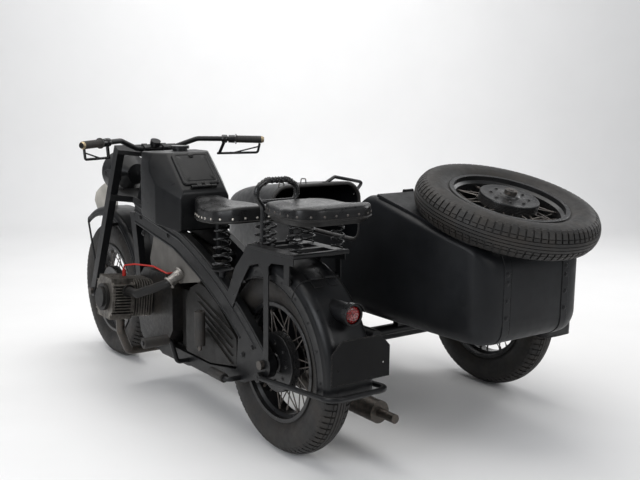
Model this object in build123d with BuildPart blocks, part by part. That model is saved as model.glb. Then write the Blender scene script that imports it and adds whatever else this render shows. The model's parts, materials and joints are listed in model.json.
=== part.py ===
"""A flat-twin motorcycle with a pressed frame and a single-seat sidecar on its right.

Millimetres. While it is built, X points to the sidecar, Y forward and Z up, and the origin is on
the ground under the rear axle in the motorcycle's mid-plane. Each piece is then moved so that the
part's origin is the centre of its bounding box, on the ground.
"""

from build123d import *
import math
import os

os.makedirs("parts", exist_ok=True)

# ---------------------------------------------------------------- driving dimensions
TYRE_R = 325.0
TYRE_W = 118.0
SHOULDER_X = 47.0  # half-width of the tread
SHOULDER_DROP = 17.0
BEAD_R = 200.0
RIM_W = 92.0
AXLE_R = 10.0
RUNNING = 0.05  # radial clearance of a turning fit
SEAT_GAP = 0.3  # gap between pieces that rest on one another
WHEELBASE = 1410.0
TRACK = 1170.0  # sidecar wheel's distance from the motorcycle's mid-plane
LEAD = 154.0  # sidecar axle ahead of the rear axle
RAKE = 25.0
FORK_OFFSET = 65.0  # blades ahead of the steering axis
BLADE_X = 130.0  # mid-plane of a fork blade
BLADE_W = 34.0
BAR_HALF = 428.0
BAR_R = 11.0
RAIL_IN = 72.0  # inner and outer faces of the frame's side pressings
RAIL_OUT = 102.0
TANK_TOP = 1010.0
TANK_HALF = 155.0
BODY_X = 708.0  # sidecar body's mid-plane
BODY_WALL = 8.0
TUBE_R = 21.0  # sidecar chassis tube
SPARE_TILT = 17.3
SPARE_Y = -326.0
DECK_FRONT_Y = 10.0
DECK_FRONT_Z = 875.0
LID_THICK = 10.0

# ---------------------------------------------------------------- derived places
SPARE_COS = math.cos(math.radians(SPARE_TILT))
SPARE_SIN = math.sin(math.radians(SPARE_TILT))
DECK_SLOPE = SPARE_SIN / SPARE_COS
FENDER_HALF = 92.0
SIDE_FENDER_HALF = 88.0
RIGHT_END = TRACK + SIDE_FENDER_HALF
FRONT_END = WHEELBASE + TYRE_R
CROWN_R = (SHOULDER_X**2 + SHOULDER_DROP**2) / (2 * SHOULDER_DROP)
REAR_END = SPARE_Y - ((TYRE_R - CROWN_R) * SPARE_COS + CROWN_R)
TO_ORIGIN = Location((-(RIGHT_END - BAR_HALF) / 2, -(FRONT_END + REAR_END) / 2, 0))
FORK_UP = Vector(0, -math.sin(math.radians(RAKE)), math.cos(math.radians(RAKE)))
FORK_AHEAD = Vector(0, math.cos(math.radians(RAKE)), math.sin(math.radians(RAKE)))
FRONT_HUB = Vector(0, WHEELBASE, TYRE_R)
REAR_HUB = Vector(0, 0, TYRE_R)
SIDE_HUB = Vector(TRACK, LEAD, TYRE_R)


def write(piece, node):
    """Labels a finished piece and writes it, moved to the part's origin."""
    piece.part.label = node
    export_step(piece.part.moved(TO_ORIGIN), f"parts/{node}.step")


def side_plane(x):
    """A plane across X, whose sketch coordinates are (Y, Z)."""
    return Plane(origin=(x, 0, 0), x_dir=(0, 1, 0), z_dir=(1, 0, 0))


def fork_plane(x):
    """A plane across X at the front hub: (ahead of the blades, up along the steering axis)."""
    return Plane(origin=FRONT_HUB + Vector(x, 0, 0), x_dir=FORK_AHEAD, z_dir=(1, 0, 0))


def fork_point(x, ahead, up):
    """A point given across, ahead of the fork blades and up along the steering axis."""
    return FRONT_HUB + Vector(x, 0, 0) + FORK_AHEAD * ahead + FORK_UP * up


def wheel_plane(centre, axle):
    """Sketch coordinates are (along the axle, radius)."""
    across = Vector(axle).cross(Vector(0, 1, 0.001))
    return Plane(origin=centre, x_dir=axle, z_dir=across)


def slab(plane, points, thick, bend=0.0, mode=Mode.ADD):
    """A plate of the given outline, from the plane along its normal."""
    with BuildSketch(plane) as outline:
        with BuildLine():
            Polyline(*points, close=True)
        make_face()
        if bend > 0:
            fillet(outline.vertices(), bend)
    extrude(outline.sketch, amount=thick, mode=mode)


def mirrored_slabs(points, x_in, x_out, bend=0.0, mode=Mode.ADD):
    """The same plate on both sides of the motorcycle."""
    slab(side_plane(x_in), points, x_out - x_in, bend, mode)
    slab(side_plane(-x_out), points, x_out - x_in, bend, mode)


def rod(start, end, radius, mode=Mode.ADD):
    """A round bar between two points."""
    start, end = Vector(*start), Vector(*end)
    with BuildSketch(Plane(origin=start, z_dir=end - start)) as section:
        Circle(radius)
    extrude(section.sketch, amount=(end - start).length, mode=mode)


def bent_tube(points, radius, bend):
    """A round tube along straight runs joined by tangent arcs."""
    with BuildLine() as path:
        FilletPolyline(*points, radius=bend)
    with BuildSketch(Plane(origin=path.line @ 0, z_dir=path.line % 0)) as section:
        Circle(radius)
    sweep(section.sketch, path=path.line)


def box(x, y, z, mode=Mode.ADD):
    """A block from its three (low, high) ranges."""
    with BuildSketch(Plane(origin=(0, 0, z[0]))) as outline:
        with Locations(((x[0] + x[1]) / 2, (y[0] + y[1]) / 2)):
            Rectangle(x[1] - x[0], y[1] - y[0])
    extrude(outline.sketch, amount=z[1] - z[0], mode=mode)


def turned(plane, profile, arc=360.0, mode=Mode.ADD):
    """A ring or drum: the (along, radius) profile turned about the plane's x direction."""
    with BuildSketch(plane) as section:
        with BuildLine():
            Polyline(*profile, close=True)
        make_face()
    about = Axis(plane.origin, plane.x_dir)
    revolve(section.sketch, axis=about, revolution_arc=arc, mode=mode)


def coil(base, top, radius_low, radius_high, turns, wire):
    """A compression spring as one swept wire, standing on base."""
    height = top[2] - base[2] - 2 * wire
    cone = math.degrees(math.atan((radius_high - radius_low) / height))
    start = Vector(*base) + Vector(0, 0, wire)
    path = Helix(
        pitch=height / turns, height=height, radius=radius_low, center=start, cone_angle=cone
    )
    with BuildSketch(Plane(origin=path @ 0, z_dir=path % 0)) as section:
        Circle(wire)
    sweep(section.sketch, path=path, is_frenet=True)


# ---------------------------------------------------------------- wheels
SPOKES = 20  # on each side of a hub
SPOKE_R = 2.2
DRUM_R = 105.0
HUB_END = 58.0
DRUM_X = 50.0
SPARE_LIFT = (LID_THICK + TYRE_W / 2 + 2 * SEAT_GAP) / SPARE_COS  # above the deck, upright
SPARE_HUB = Vector(
    BODY_X, SPARE_Y, DECK_FRONT_Z + DECK_SLOPE * (SPARE_Y - DECK_FRONT_Y) + SPARE_LIFT
)
WHEELS = (  # node prefix, hub centre, axle direction
    ("front", FRONT_HUB, (1, 0, 0)),
    ("rear", REAR_HUB, (1, 0, 0)),
    ("sidecar", SIDE_HUB, (1, 0, 0)),
    ("spare", SPARE_HUB, (0, SPARE_SIN, -SPARE_COS)),
)
RIM_PROFILE = (  # along the axle, radius above the bead seat, for one half of the rim
    (RIM_W / 2, 9), (RIM_W / 2, -4), (28, -4), (21, -15),
)
RIM_INSIDE = ((18, -10), (24, 0), (RIM_W / 2 - 5, 0), (RIM_W / 2 - 5, 9))


def rim_outline():
    """The rim's closed section, mirrored from its one half."""
    half = [(x, BEAD_R + r) for x, r in RIM_PROFILE]
    inside = [(x, BEAD_R + r) for x, r in RIM_INSIDE]
    other = [(-x, r) for x, r in reversed(half)]
    other_inside = [(-x, r) for x, r in reversed(inside)]
    return half + other + other_inside + inside


HUB_OUTLINE = (  # along the axle, radius: drum on the left, spoke flange on the right
    (-HUB_END, AXLE_R + RUNNING), (-HUB_END, 34), (-DRUM_X, DRUM_R), (-16, DRUM_R), (-10, 40),
    (32, 34), (34, 62), (40, 62), (42, 30), (HUB_END, 24), (HUB_END, AXLE_R + RUNNING),
)
SPOKE_ROWS = (  # flange place along the axle, flange radius, place in the rim, lean in degrees
    (-20, DRUM_R - 2, -8, 9),
    (37, 58, 8, 16),
)


def tyre_section(plane):
    """Bead, bulged wall and rounded crown, in (along the axle, radius)."""
    bead_x = RIM_W / 2 - 6
    bead = BEAD_R + 14
    bulge = (TYRE_W / 2, BEAD_R + 62)
    shoulder_r = TYRE_R - SHOULDER_DROP
    with BuildSketch(plane) as section:
        with BuildLine():
            Polyline((-bead_x, bead), (-bead_x, BEAD_R), (bead_x, BEAD_R), (bead_x, bead))
            ThreePointArc((bead_x, bead), bulge, (SHOULDER_X, shoulder_r))
            ThreePointArc((SHOULDER_X, shoulder_r), (0, TYRE_R), (-SHOULDER_X, shoulder_r))
            ThreePointArc((-SHOULDER_X, shoulder_r), (-bulge[0], bulge[1]), (-bead_x, bead))
        make_face()
    return section.sketch


def spoke_ends(plane, flange_x, flange_r, rim_x, lean):
    """Each spoke's ends, at the hub flange and in the rim."""
    ends = []
    for n in range(SPOKES):
        at_hub = math.radians(n * 360 / SPOKES)
        at_rim = at_hub + math.radians(lean if n % 2 else -lean)
        pair = []
        for x, r, angle in ((flange_x, flange_r, at_hub), (rim_x, BEAD_R - 13, at_rim)):
            pair.append(plane.from_local_coords((x, r * math.cos(angle), r * math.sin(angle))))
        ends.append(pair)
    return ends


for prefix, hub, axle in WHEELS:
    wheel_at = wheel_plane(hub, axle)
    with BuildPart() as tyre:
        revolve(tyre_section(wheel_at), axis=Axis(hub, axle))
    write(tyre, f"{prefix}_tyre")

    with BuildPart() as wheel:
        turned(wheel_at, rim_outline())
        turned(wheel_at, HUB_OUTLINE)
        for flange_x, flange_r, rim_x, lean in SPOKE_ROWS:
            ends = spoke_ends(wheel_at, flange_x, flange_r, rim_x, lean)
            with BuildSketch(*[Plane(origin=a, z_dir=b - a) for a, b in ends]) as spokes:
                Circle(SPOKE_R)
            extrude(spokes.sketch, amount=(ends[0][1] - ends[0][0]).length)
    write(wheel, f"{prefix}_wheel")

# ---------------------------------------------------------------- main frame
HEAD_LOW = 540.0  # head tube's ends along the steering axis
HEAD_HIGH = 740.0
HEAD_R = 32.0
STEM_R = 15.0
LUG_R = 48.0
STAND_Y, STAND_Z = 0.0, 282.0
STAND_PIN_R = 8.0
STAND_PIN_END = 125.0
RAIL_LOW, RAIL_TOP = 180.0, 225.0
BEAM_FRONT = 1010.0
BEAM_FRONT_TOP = 784.0
BEAM_BEND = (587.0, 709.0)  # where the beam's upper edge starts to curve down
CROSS_BARS = ((365, 208), (905, 200), (470, 620))  # Y, Z
SPRING_X, SPRING_Y = 88.0, 290.0
SPRING_BASE = 612.0
SPRING_TOP = 775.0
SPRING_SEAT_R = 40.0
SADDLE_LOW = SPRING_TOP + SEAT_GAP

GUSSET = ((-30, 365), (158, 395), (170, 260), (160, 222), (120, 228), (-38, 296))
RAIL = (
    (150, 222), (365, 186), (905, RAIL_LOW), (905, RAIL_TOP), (365, 231), (150, 267),
)
DOWNTUBE = (
    (900, RAIL_LOW), (930, 185), (972, 220), (1005, 320), (1012, 470), (1030, 600), (1062, 735),
    (1015, 740), (985, 600), (967, 470), (960, 330), (935, 262), (890, RAIL_TOP),
)
HEAD_BLOCK = (
    (1121, 791), (1021, 745), (900, 700), (900, 790), (960, 880), (983, 934), (1039, 960),
)

with BuildPart() as main_frame:
    for x_low in (RAIL_IN, -RAIL_OUT):
        with BuildSketch(side_plane(x_low)) as beam:
            with BuildLine():
                Polyline(BEAM_BEND, (BEAM_FRONT, BEAM_FRONT_TOP), (BEAM_FRONT, 692), (662, 632))
                ThreePointArc((662, 632), (422, 541), (158, 389))
                Polyline((158, 389), (30, 300), (-30, 365))
                ThreePointArc((-30, 365), (215, 543), BEAM_BEND)
            make_face()
            with Locations((0, TYRE_R)):
                Circle(LUG_R)
        extrude(beam.sketch, amount=RAIL_OUT - RAIL_IN)
    mirrored_slabs(GUSSET, RAIL_IN, RAIL_OUT)
    mirrored_slabs(RAIL, RAIL_IN, RAIL_OUT)
    mirrored_slabs(DOWNTUBE, RAIL_IN, RAIL_OUT)
    slab(side_plane(-30), HEAD_BLOCK, 60)
    box((-RAIL_IN - 5, RAIL_IN + 5), (905, 1000), (702, 770))
    for y, z in CROSS_BARS:
        rod((-RAIL_IN - 5, y, z), (RAIL_IN + 5, y, z), 14)
    rod((0, 470, 620), (0, 470, SADDLE_LOW - SEAT_GAP), 12)
    rod(fork_point(0, -FORK_OFFSET, HEAD_LOW), fork_point(0, -FORK_OFFSET, HEAD_HIGH), HEAD_R)
    rod(
        fork_point(0, -FORK_OFFSET, HEAD_LOW),
        fork_point(0, -FORK_OFFSET, HEAD_HIGH),
        STEM_R + RUNNING,
        Mode.SUBTRACT,
    )
    for side in (-1, 1):
        foot = (side * SPRING_X, SPRING_Y)
        rod((*foot, 540), (*foot, SPRING_BASE), 13)
        rod((*foot, SPRING_BASE - 6), (*foot, SPRING_BASE), SPRING_SEAT_R)
        rod((side * (RAIL_OUT - 5), STAND_Y, STAND_Z), (side * STAND_PIN_END, STAND_Y, STAND_Z), STAND_PIN_R)
        rod((side * 60, 0, TYRE_R), (side * 110, 0, TYRE_R), AXLE_R, Mode.SUBTRACT)
write(main_frame, "main_frame")

with BuildPart() as rear_axle:
    rod((-RAIL_OUT, 0, TYRE_R), (RAIL_OUT, 0, TYRE_R), AXLE_R)
    for side in (-1, 1):
        rod((side * RAIL_OUT, 0, TYRE_R), (side * (RAIL_OUT + 14), 0, TYRE_R), 16)
        turned(
            wheel_plane(REAR_HUB, (side, 0, 0)),
            ((HUB_END + 0.5, AXLE_R), (HUB_END + 0.5, 20), (RAIL_IN, 20), (RAIL_IN, AXLE_R)),
        )
write(rear_axle, "rear_axle")

# ---------------------------------------------------------------- engine and gearbox
CASE_X = 115.0
CASE_Y = (645.0, 955.0)
CASE_Z = (228.0, 520.0)
CYLINDER_Z = 400.0
CYLINDER_RISE = 5.0  # degrees
LEFT_CYLINDER_Y, RIGHT_CYLINDER_Y = 890.0, 850.0
FIN_R = 78.0
BARREL_R = 52.0
BARREL_END = 92.0  # along the cylinder from the crankcase
HEAD_END = 188.0
HEAD_HALF = 85.0
HEAD_CORE = 62.0
HEAD_CHAMFER = 34.0
COVER_R = 56.0

SUMP = ((560, 235), (560, 165), (610, 155), (840, 148), (885, 165), (885, 235))

with BuildPart() as crankcase:
    slab(
        side_plane(-CASE_X),
        (
            (CASE_Y[0], 300), (CASE_Y[0], 470), (700, CASE_Z[1]), (900, CASE_Z[1]), (CASE_Y[1], 470),
            (CASE_Y[1], 350), (915, 268), (860, CASE_Z[0]), (700, CASE_Z[0]),
        ),
        2 * CASE_X,
        bend=12,
    )
    slab(side_plane(-66), ((950, 300), (1000, 330), (1000, 470), (950, 510)), 132)
    slab(side_plane(-66), SUMP, 132)
    rod((0, 690, 556), (0, 900, 556), 52)
    box((-30, 30), (700, 890), (500, 540))
write(crankcase, "crankcase")


def cylinder_plane(side, y, along):
    """A plane across one cylinder: (forward, up), its normal pointing outwards."""
    rise = math.radians(CYLINDER_RISE)
    out = Vector(side * math.cos(rise), 0, math.sin(rise))
    origin = Vector(side * CASE_X, y, CYLINDER_Z) + out * along
    return Plane(origin=origin, x_dir=(0, side, 0), z_dir=out)


CYLINDERS = ((-1, LEFT_CYLINDER_Y), (1, RIGHT_CYLINDER_Y))
BARREL_FINS = 8

with BuildPart() as cylinders:
    for side, y in CYLINDERS:
        with BuildSketch(cylinder_plane(side, y, -8)) as barrel:
            Circle(BARREL_R)
        extrude(barrel.sketch, amount=BARREL_END + 8)
        fin_pitch = BARREL_END / BARREL_FINS
        fin_planes = [cylinder_plane(side, y, 6 + fin_pitch * n) for n in range(BARREL_FINS)]
        with BuildSketch(*fin_planes) as fins:
            RectangleRounded(2 * FIN_R, 2 * FIN_R, 30)
        extrude(fins.sketch, amount=4)
        with BuildSketch(cylinder_plane(side, y, BARREL_END)) as head:
            Rectangle(2 * HEAD_CORE, 2 * HEAD_CORE)
            for n in range(-5, 6):
                with Locations((0, 12 * n)):
                    Rectangle(2 * HEAD_HALF, 4)
                with Locations((12 * n, 0)):
                    Rectangle(4, 2 * HEAD_HALF)
            chamfered = Rectangle(2 * HEAD_HALF, 2 * HEAD_HALF, mode=Mode.PRIVATE)
            chamfered = chamfer(chamfered.vertices(), HEAD_CHAMFER)
            add(chamfered, mode=Mode.INTERSECT)
        extrude(head.sketch, amount=HEAD_END - BARREL_END)
        for along in (BARREL_END, HEAD_END - 12):
            with BuildSketch(cylinder_plane(side, y, along)) as flange:
                Rectangle(2 * HEAD_HALF - 4, 2 * HEAD_HALF - 4)
                chamfer(flange.vertices(), HEAD_CHAMFER)
            extrude(flange.sketch, amount=12)
    box((-CASE_X, CASE_X), (700, 1000), (280, 520), Mode.SUBTRACT)
write(cylinders, "cylinders")

with BuildPart() as rocker_covers:
    for side, y in CYLINDERS:
        with BuildSketch(cylinder_plane(side, y, HEAD_END)) as cover:
            Circle(COVER_R)
        extrude(cover.sketch, amount=14)
        with BuildSketch(cylinder_plane(side, y, HEAD_END + 14)) as crown:
            Circle(COVER_R - 14)
        extrude(crown.sketch, amount=10)
write(rocker_covers, "rocker_covers")

GEARBOX_SIDE = 98.0

with BuildPart() as gearbox:
    box((-68, 68), (345, CASE_Y[0]), (236, 470))
    mirrored_slabs(
        ((176, 272), (176, 372), (300, 470), (400, 520), (450, 530), (520, 500), (560, 440),
         (560, 236), (368, 236)),
        60, GEARBOX_SIDE, bend=10,
    )
    box((-59.9, 59.9), (100, 344), (220, 540), Mode.SUBTRACT)
    for n in range(5):
        low = 274 + 31 * n
        mirrored_slabs(
            ((200, low), (215, low), (400 + 20 * n, low + 90), (385 + 20 * n, low + 90)),
            GEARBOX_SIDE - 1,
            GEARBOX_SIDE + 6,
        )
write(gearbox, "gearbox")

with BuildPart() as air_cleaner:
    mirrored_slabs(
        ((842, 660), (662, 629), (520, 578), (440, 543), (452, 533), (606, 500), (640, 500),
         (692, 523), (870, 523), (880, 560)),
        54, 96, bend=3,
    )
    box((-56, 56), (520, 635), (510, 575))
write(air_cleaner, "air_cleaner")

INTAKE_R = 18.0
INTAKE_Z = 450.0
INTAKE_PORT_X = 235.0
INTAKE_ELBOW = (150.0, 598.0, 510.0)
AIR_X = 96.0

with BuildPart() as intake_pipes:
    for side, y in CYLINDERS:
        port = y - HEAD_HALF
        rod((side * INTAKE_PORT_X, port, INTAKE_Z), (side * INTAKE_PORT_X, port - 12, INTAKE_Z), 26)
        bent_tube(
            [
                (side * INTAKE_PORT_X, port - 10, INTAKE_Z),
                (side * INTAKE_PORT_X, port - 90, INTAKE_Z + 4),
                (side * INTAKE_ELBOW[0], *INTAKE_ELBOW[1:]),
                (side * AIR_X, INTAKE_ELBOW[1], 548),
            ],
            INTAKE_R,
            28,
        )
    box((-AIR_X, AIR_X), (500, 700), (440, 620), Mode.SUBTRACT)
write(intake_pipes, "intake_pipes")

PLUG_X = 212.0
LEAD_R = 3.5

with BuildPart() as ignition_leads:
    for side, y in CYLINDERS:
        head_top = CYLINDER_Z + (PLUG_X - CASE_X) * math.tan(math.radians(CYLINDER_RISE)) + 86.4
        rod((side * PLUG_X, y, head_top), (side * PLUG_X, y, head_top + 26), 8)
        bent_tube(
            [
                (side * PLUG_X, y, head_top + 24), (side * PLUG_X, y, head_top + 44),
                (side * 190, y - 60, head_top + 56), (side * 150, y - 150, head_top + 58),
                (side * 125, y - 225, head_top + 38), (side * AIR_X, y - 225, head_top + 38),
            ],
            LEAD_R,
            12,
        )
write(ignition_leads, "ignition_leads")

PIPE_R = 18.0
SILENCER = (215.0, 170.0)  # X, Z
SILENCER_R = 40.0

with BuildPart() as exhaust:
    low = SILENCER[1] - 15
    head_z = CYLINDER_Z + (235 - CASE_X) * math.tan(math.radians(CYLINDER_RISE))
    start = head_z - HEAD_HALF / math.cos(math.radians(CYLINDER_RISE)) - 1.8
    bent_tube(
        [
            (-235, LEFT_CYLINDER_Y, start), (-235, LEFT_CYLINDER_Y, 262), (-170, 955, 148),
            (170, 955, 148), (228, 800, low + 15), (228, 700, low + 20),
        ],
        PIPE_R,
        34,
    )
    bent_tube(
        [
            (235, RIGHT_CYLINDER_Y, start), (235, RIGHT_CYLINDER_Y, 230), (228, 700, low + 20),
            (SILENCER[0], 380, low + 20),
        ],
        PIPE_R,
        60,
    )
    rod((SILENCER[0], 390, SILENCER[1]), (SILENCER[0], -250, SILENCER[1]), SILENCER_R)
    rod((SILENCER[0], -250, SILENCER[1]), (SILENCER[0], -330, SILENCER[1]), 16)
write(exhaust, "exhaust")

STAND_LEG_X = 116.0
FINAL_X = 132.0

with BuildPart() as final_drive:
    rod((RAIL_OUT + 14, 0, TYRE_R), (FINAL_X + 2, 0, TYRE_R), 14)
    turned(
        wheel_plane(REAR_HUB, (1, 0, 0)),
        ((FINAL_X, 0), (FINAL_X, 78), (178, 78), (190, 60), (190, 0)),
    )
    rod((158, 60, TYRE_R), (158, 372, TYRE_R), 17)
    rod((104.3, 372, TYRE_R), (180, 372, TYRE_R), 30)
write(final_drive, "final_drive")

PEG_Y, PEG_Z = 540.0, 300.0
KICK_X, KICK_Y = -150.0, 353.0
KICK_LOW, KICK_HIGH = 317.0, 446.0
PEG_R = 21.0
PILLION_PEG = (-150.0, 238.0)  # X, Z

with BuildPart() as footrests:
    for side in (-1, 1):
        bent_tube(
            [
                (side * RAIL_OUT, PEG_Y, 203), (side * 150, PEG_Y, 203), (side * 178, PEG_Y, PEG_Z),
                (side * 300, PEG_Y, PEG_Z),
            ],
            9,
            20,
        )
    bent_tube(
        [(-RAIL_OUT, 150, PILLION_PEG[1]), (PILLION_PEG[0], 150, PILLION_PEG[1]),
         (PILLION_PEG[0], 272, PILLION_PEG[1])],
        9,
        20,
    )
write(footrests, "footrests")

with BuildPart() as kick_starter:
    rod((-GEARBOX_SIDE, 430, 330), (-126, 430, 330), 13)
    bent_tube([(-120, 430, 330), (-138, 392, 305), (KICK_X, KICK_Y, 296), (KICK_X, KICK_Y, 330)], 7, 9)
    rod((KICK_X, KICK_Y, 300), (KICK_X, KICK_Y, KICK_HIGH + 5), 7)
write(kick_starter, "kick_starter")

with BuildPart() as pedal_rubbers:
    for side in (-1, 1):
        rod((side * 193, PEG_Y, PEG_Z), (side * 295, PEG_Y, PEG_Z), PEG_R)
        rod((side * 193, PEG_Y, PEG_Z), (side * 295, PEG_Y, PEG_Z), 9, Mode.SUBTRACT)
    rod((PILLION_PEG[0], 175, PILLION_PEG[1]), (PILLION_PEG[0], 268, PILLION_PEG[1]), 17)
    rod((PILLION_PEG[0], 175, PILLION_PEG[1]), (PILLION_PEG[0], 268, PILLION_PEG[1]), 9, Mode.SUBTRACT)
    rod((KICK_X, KICK_Y, KICK_LOW), (KICK_X, KICK_Y, KICK_HIGH), 20.5)
    rod((KICK_X, KICK_Y, KICK_LOW), (KICK_X, KICK_Y, KICK_HIGH), 7, Mode.SUBTRACT)
write(pedal_rubbers, "pedal_rubbers")

HORN = (905.0, 650.0)  # Y, Z

with BuildPart() as horn:
    rod((-70, *HORN), (-44, *HORN), 43)
    rod((-76, *HORN), (-70, *HORN), 22)
    box((-62, -50), (895, 915), (685, 702))
write(horn, "horn")

# ---------------------------------------------------------------- tank, saddles and rack
SLOPE_FOOT = (578.0, 874.0)  # the sloped face's lower edge, Y and Z
SLOPE_HEAD_Y = 715.0
TANK_SIDE = (
    (575, 713), (587, 709.8), (880, 761.8), (893, 830), (900, 985), (880, TANK_TOP),
    (SLOPE_HEAD_Y, TANK_TOP), SLOPE_FOOT, (572, 860),
)
TANK_PLAN = ((104, 560), (126, 620), (TANK_HALF, 700), (TANK_HALF, 830), (118, 885), (70, 925))
TANK_FRONT = ((TANK_HALF, 690), (TANK_HALF, 940), (146, 975), (128, TANK_TOP + 0.1))
SLOPE_SECTION = ((93, -0.1), (TANK_HALF, 75), (TANK_HALF, 600))  # across, below the sloped face
LID_ANGLE = math.atan2(TANK_TOP - SLOPE_FOOT[1], SLOPE_HEAD_Y - SLOPE_FOOT[0])
LID_HALF = 82.0
LID_SHEET = 9.0
LID_ALONG = (20.0, 184.0)
LID_KNOB = 166.0
POCKET_HALF, POCKET_DEEP = 58.0, 48.0
POCKET_ALONG = (34.0, 150.0)
LID_HINGE_V, LID_HINGE_N = 8.0, 7.0
KNUCKLE_R = 6.5
HINGE_PIN_R = 3.0
lid_plane = Plane(
    origin=(0, *SLOPE_FOOT),
    x_dir=(1, 0, 0),
    z_dir=(0, -math.sin(LID_ANGLE), math.cos(LID_ANGLE)),
)


def lid_point(x, along, out):
    """A point on the tank's sloped face: across, up the slope and out of it."""
    return lid_plane.from_local_coords((x, along, out))


def both_sides(points):
    """An outline symmetric about the first coordinate, from its right half."""
    return list(points) + [(-x, other) for x, other in reversed(points)]


def across_slope(half, low, high):
    """A rectangle on the sloped face, from its half-width and its two ends up the slope."""
    return ((-half, low), (half, low), (half, high), (-half, high))


with BuildPart() as fuel_tank:
    slab(side_plane(-TANK_HALF), TANK_SIDE, 2 * TANK_HALF)
    slab(Plane.XY.offset(600), both_sides(TANK_PLAN), 500, mode=Mode.INTERSECT)
    front_plane = Plane(origin=(0, 1000, 0), x_dir=(1, 0, 0), z_dir=(0, -1, 0))
    slab(front_plane, both_sides(TANK_FRONT), 600, mode=Mode.INTERSECT)
    slope_plane = Plane(origin=lid_point(0, -400, 0), x_dir=(1, 0, 0), z_dir=lid_plane.y_dir)
    slab(slope_plane, both_sides(SLOPE_SECTION), 900, mode=Mode.INTERSECT)
    slab(lid_plane, across_slope(POCKET_HALF, *POCKET_ALONG), -POCKET_DEEP, mode=Mode.SUBTRACT)
    for side in (-1, 1):
        a, b = lid_point(side * 31, LID_HINGE_V, LID_HINGE_N), lid_point(side * 56, LID_HINGE_V, LID_HINGE_N)
        rod(a, b, KNUCKLE_R)
        slab(
            lid_plane.offset(-1),
            ((side * 31, 2), (side * 56, 2), (side * 56, 14), (side * 31, 14)),
            LID_HINGE_N + 1,
        )
    rod(lid_point(-56, LID_HINGE_V, LID_HINGE_N), lid_point(56, LID_HINGE_V, LID_HINGE_N), HINGE_PIN_R)
write(fuel_tank, "fuel_tank")

with BuildPart() as tank_lid:
    slab(lid_plane.offset(SEAT_GAP), across_slope(LID_HALF, *LID_ALONG), LID_SHEET)
    slab(lid_plane.offset(2), across_slope(30, LID_HINGE_V, LID_ALONG[0] + 4), 7)
    rod(lid_point(-30, LID_HINGE_V, LID_HINGE_N), lid_point(30, LID_HINGE_V, LID_HINGE_N), KNUCKLE_R - 0.5)
    rod(
        lid_point(-31, LID_HINGE_V, LID_HINGE_N),
        lid_point(31, LID_HINGE_V, LID_HINGE_N),
        HINGE_PIN_R + RUNNING,
        Mode.SUBTRACT,
    )
    rod(lid_point(0, LID_KNOB, LID_SHEET), lid_point(0, LID_KNOB, LID_SHEET + 6), 13)
write(tank_lid, "tank_lid")

CAP_AT = (30.0, 835.0)

with BuildPart() as filler_cap:
    rod((*CAP_AT, TANK_TOP), (*CAP_AT, TANK_TOP + 8), 30)
    rod((*CAP_AT, TANK_TOP + 8), (*CAP_AT, TANK_TOP + 20), 38)
write(filler_cap, "filler_cap")

SADDLE_SIDE = (
    (545, SADDLE_LOW), (566, 800), (568, 838), (550, 850), (450, 846), (330, 845), (220, 856),
    (178, 858), (160, 842), (158, 800), (180, SADDLE_LOW),
)
SADDLE_PLAN = ((42, 572), (58, 500), (100, 420), (150, 310), (156, 230), (110, 155))
PILLION_LOW = 838.0
PILLION_SIDE = (
    (30, 850), (24, 880), (-20, 892), (-60, 894), (-150, 888), (-230, 892), (-290, 902),
    (-312, 888), (-306, 856), (-250, PILLION_LOW), (0, PILLION_LOW),
)
PILLION_PLAN = ((50, 32), (96, -10), (132, -90), (150, -190), (150, -268), (92, -314))
SADDLE_HALF = 160.0


def saddle(side_outline, plan_outline, low, half):
    """A saddle: its side outline cut to its plan, with rounded upper edges."""
    slab(side_plane(-half), side_outline, 2 * half)
    slab(Plane.XY.offset(low - 5), both_sides(plan_outline), 200, mode=Mode.INTERSECT)


with BuildPart() as rider_seat:
    saddle(SADDLE_SIDE, SADDLE_PLAN, SADDLE_LOW, SADDLE_HALF)
write(rider_seat, "rider_seat")

with BuildPart() as pillion_seat:
    saddle(PILLION_SIDE, PILLION_PLAN, PILLION_LOW, SADDLE_HALF)
write(pillion_seat, "pillion_seat")

RACK_X = RAIL_OUT + SEAT_GAP
RACK_THICK = 4.0
RACK_LOW, RACK_TOP = 724.0, 735.0
RACK_HALF = 112.0
RACK_RAIL = 40.0
RACK_STRIP = 22.0
RACK_FRONT, RACK_REAR = 80.0, -192.0
RACK_BAR_R = 8.0
RACK_STAYS = ((-30, 650), (-150, 640))  # Y, Z
PILLION_SPRINGS = ((80, -15), (84, -172))
RACK_PLATE = (
    (-188, RACK_LOW), (-188, 700), (-62, 690), (-44, 676), (-44, 350), (-14, 350), (-14, 640),
    (20, 676), (75, 660), (128, 590), (190, 490), (232, 520), (170, 640), (110, 700), (100, RACK_LOW),
)

with BuildPart() as luggage_rack:
    mirrored_slabs(RACK_PLATE, RACK_X, RACK_X + RACK_THICK)
    for side in (-1, 1):
        rail = sorted((side * (RACK_HALF - RACK_RAIL), side * RACK_HALF))
        box(rail, (RACK_REAR, RACK_FRONT), (RACK_LOW, RACK_TOP))
        for y, z in RACK_STAYS:
            rod((side * FENDER_HALF, y, z), (side * RACK_X, y, z), 9)
        box(sorted((side * RACK_X, side * (RACK_X + RACK_THICK))), (-165, -135), (630, 712))
    bar_z = (RACK_LOW + RACK_TOP) / 2
    rod((-RACK_HALF, RACK_REAR, bar_z), (RACK_HALF, RACK_REAR, bar_z), RACK_BAR_R)
    for y in (RACK_REAR, -110, -15, RACK_FRONT - RACK_STRIP):
        box((-RACK_HALF + 5, RACK_HALF - 5), (y, y + RACK_STRIP), (RACK_LOW, RACK_TOP))
write(luggage_rack, "luggage_rack")

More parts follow.
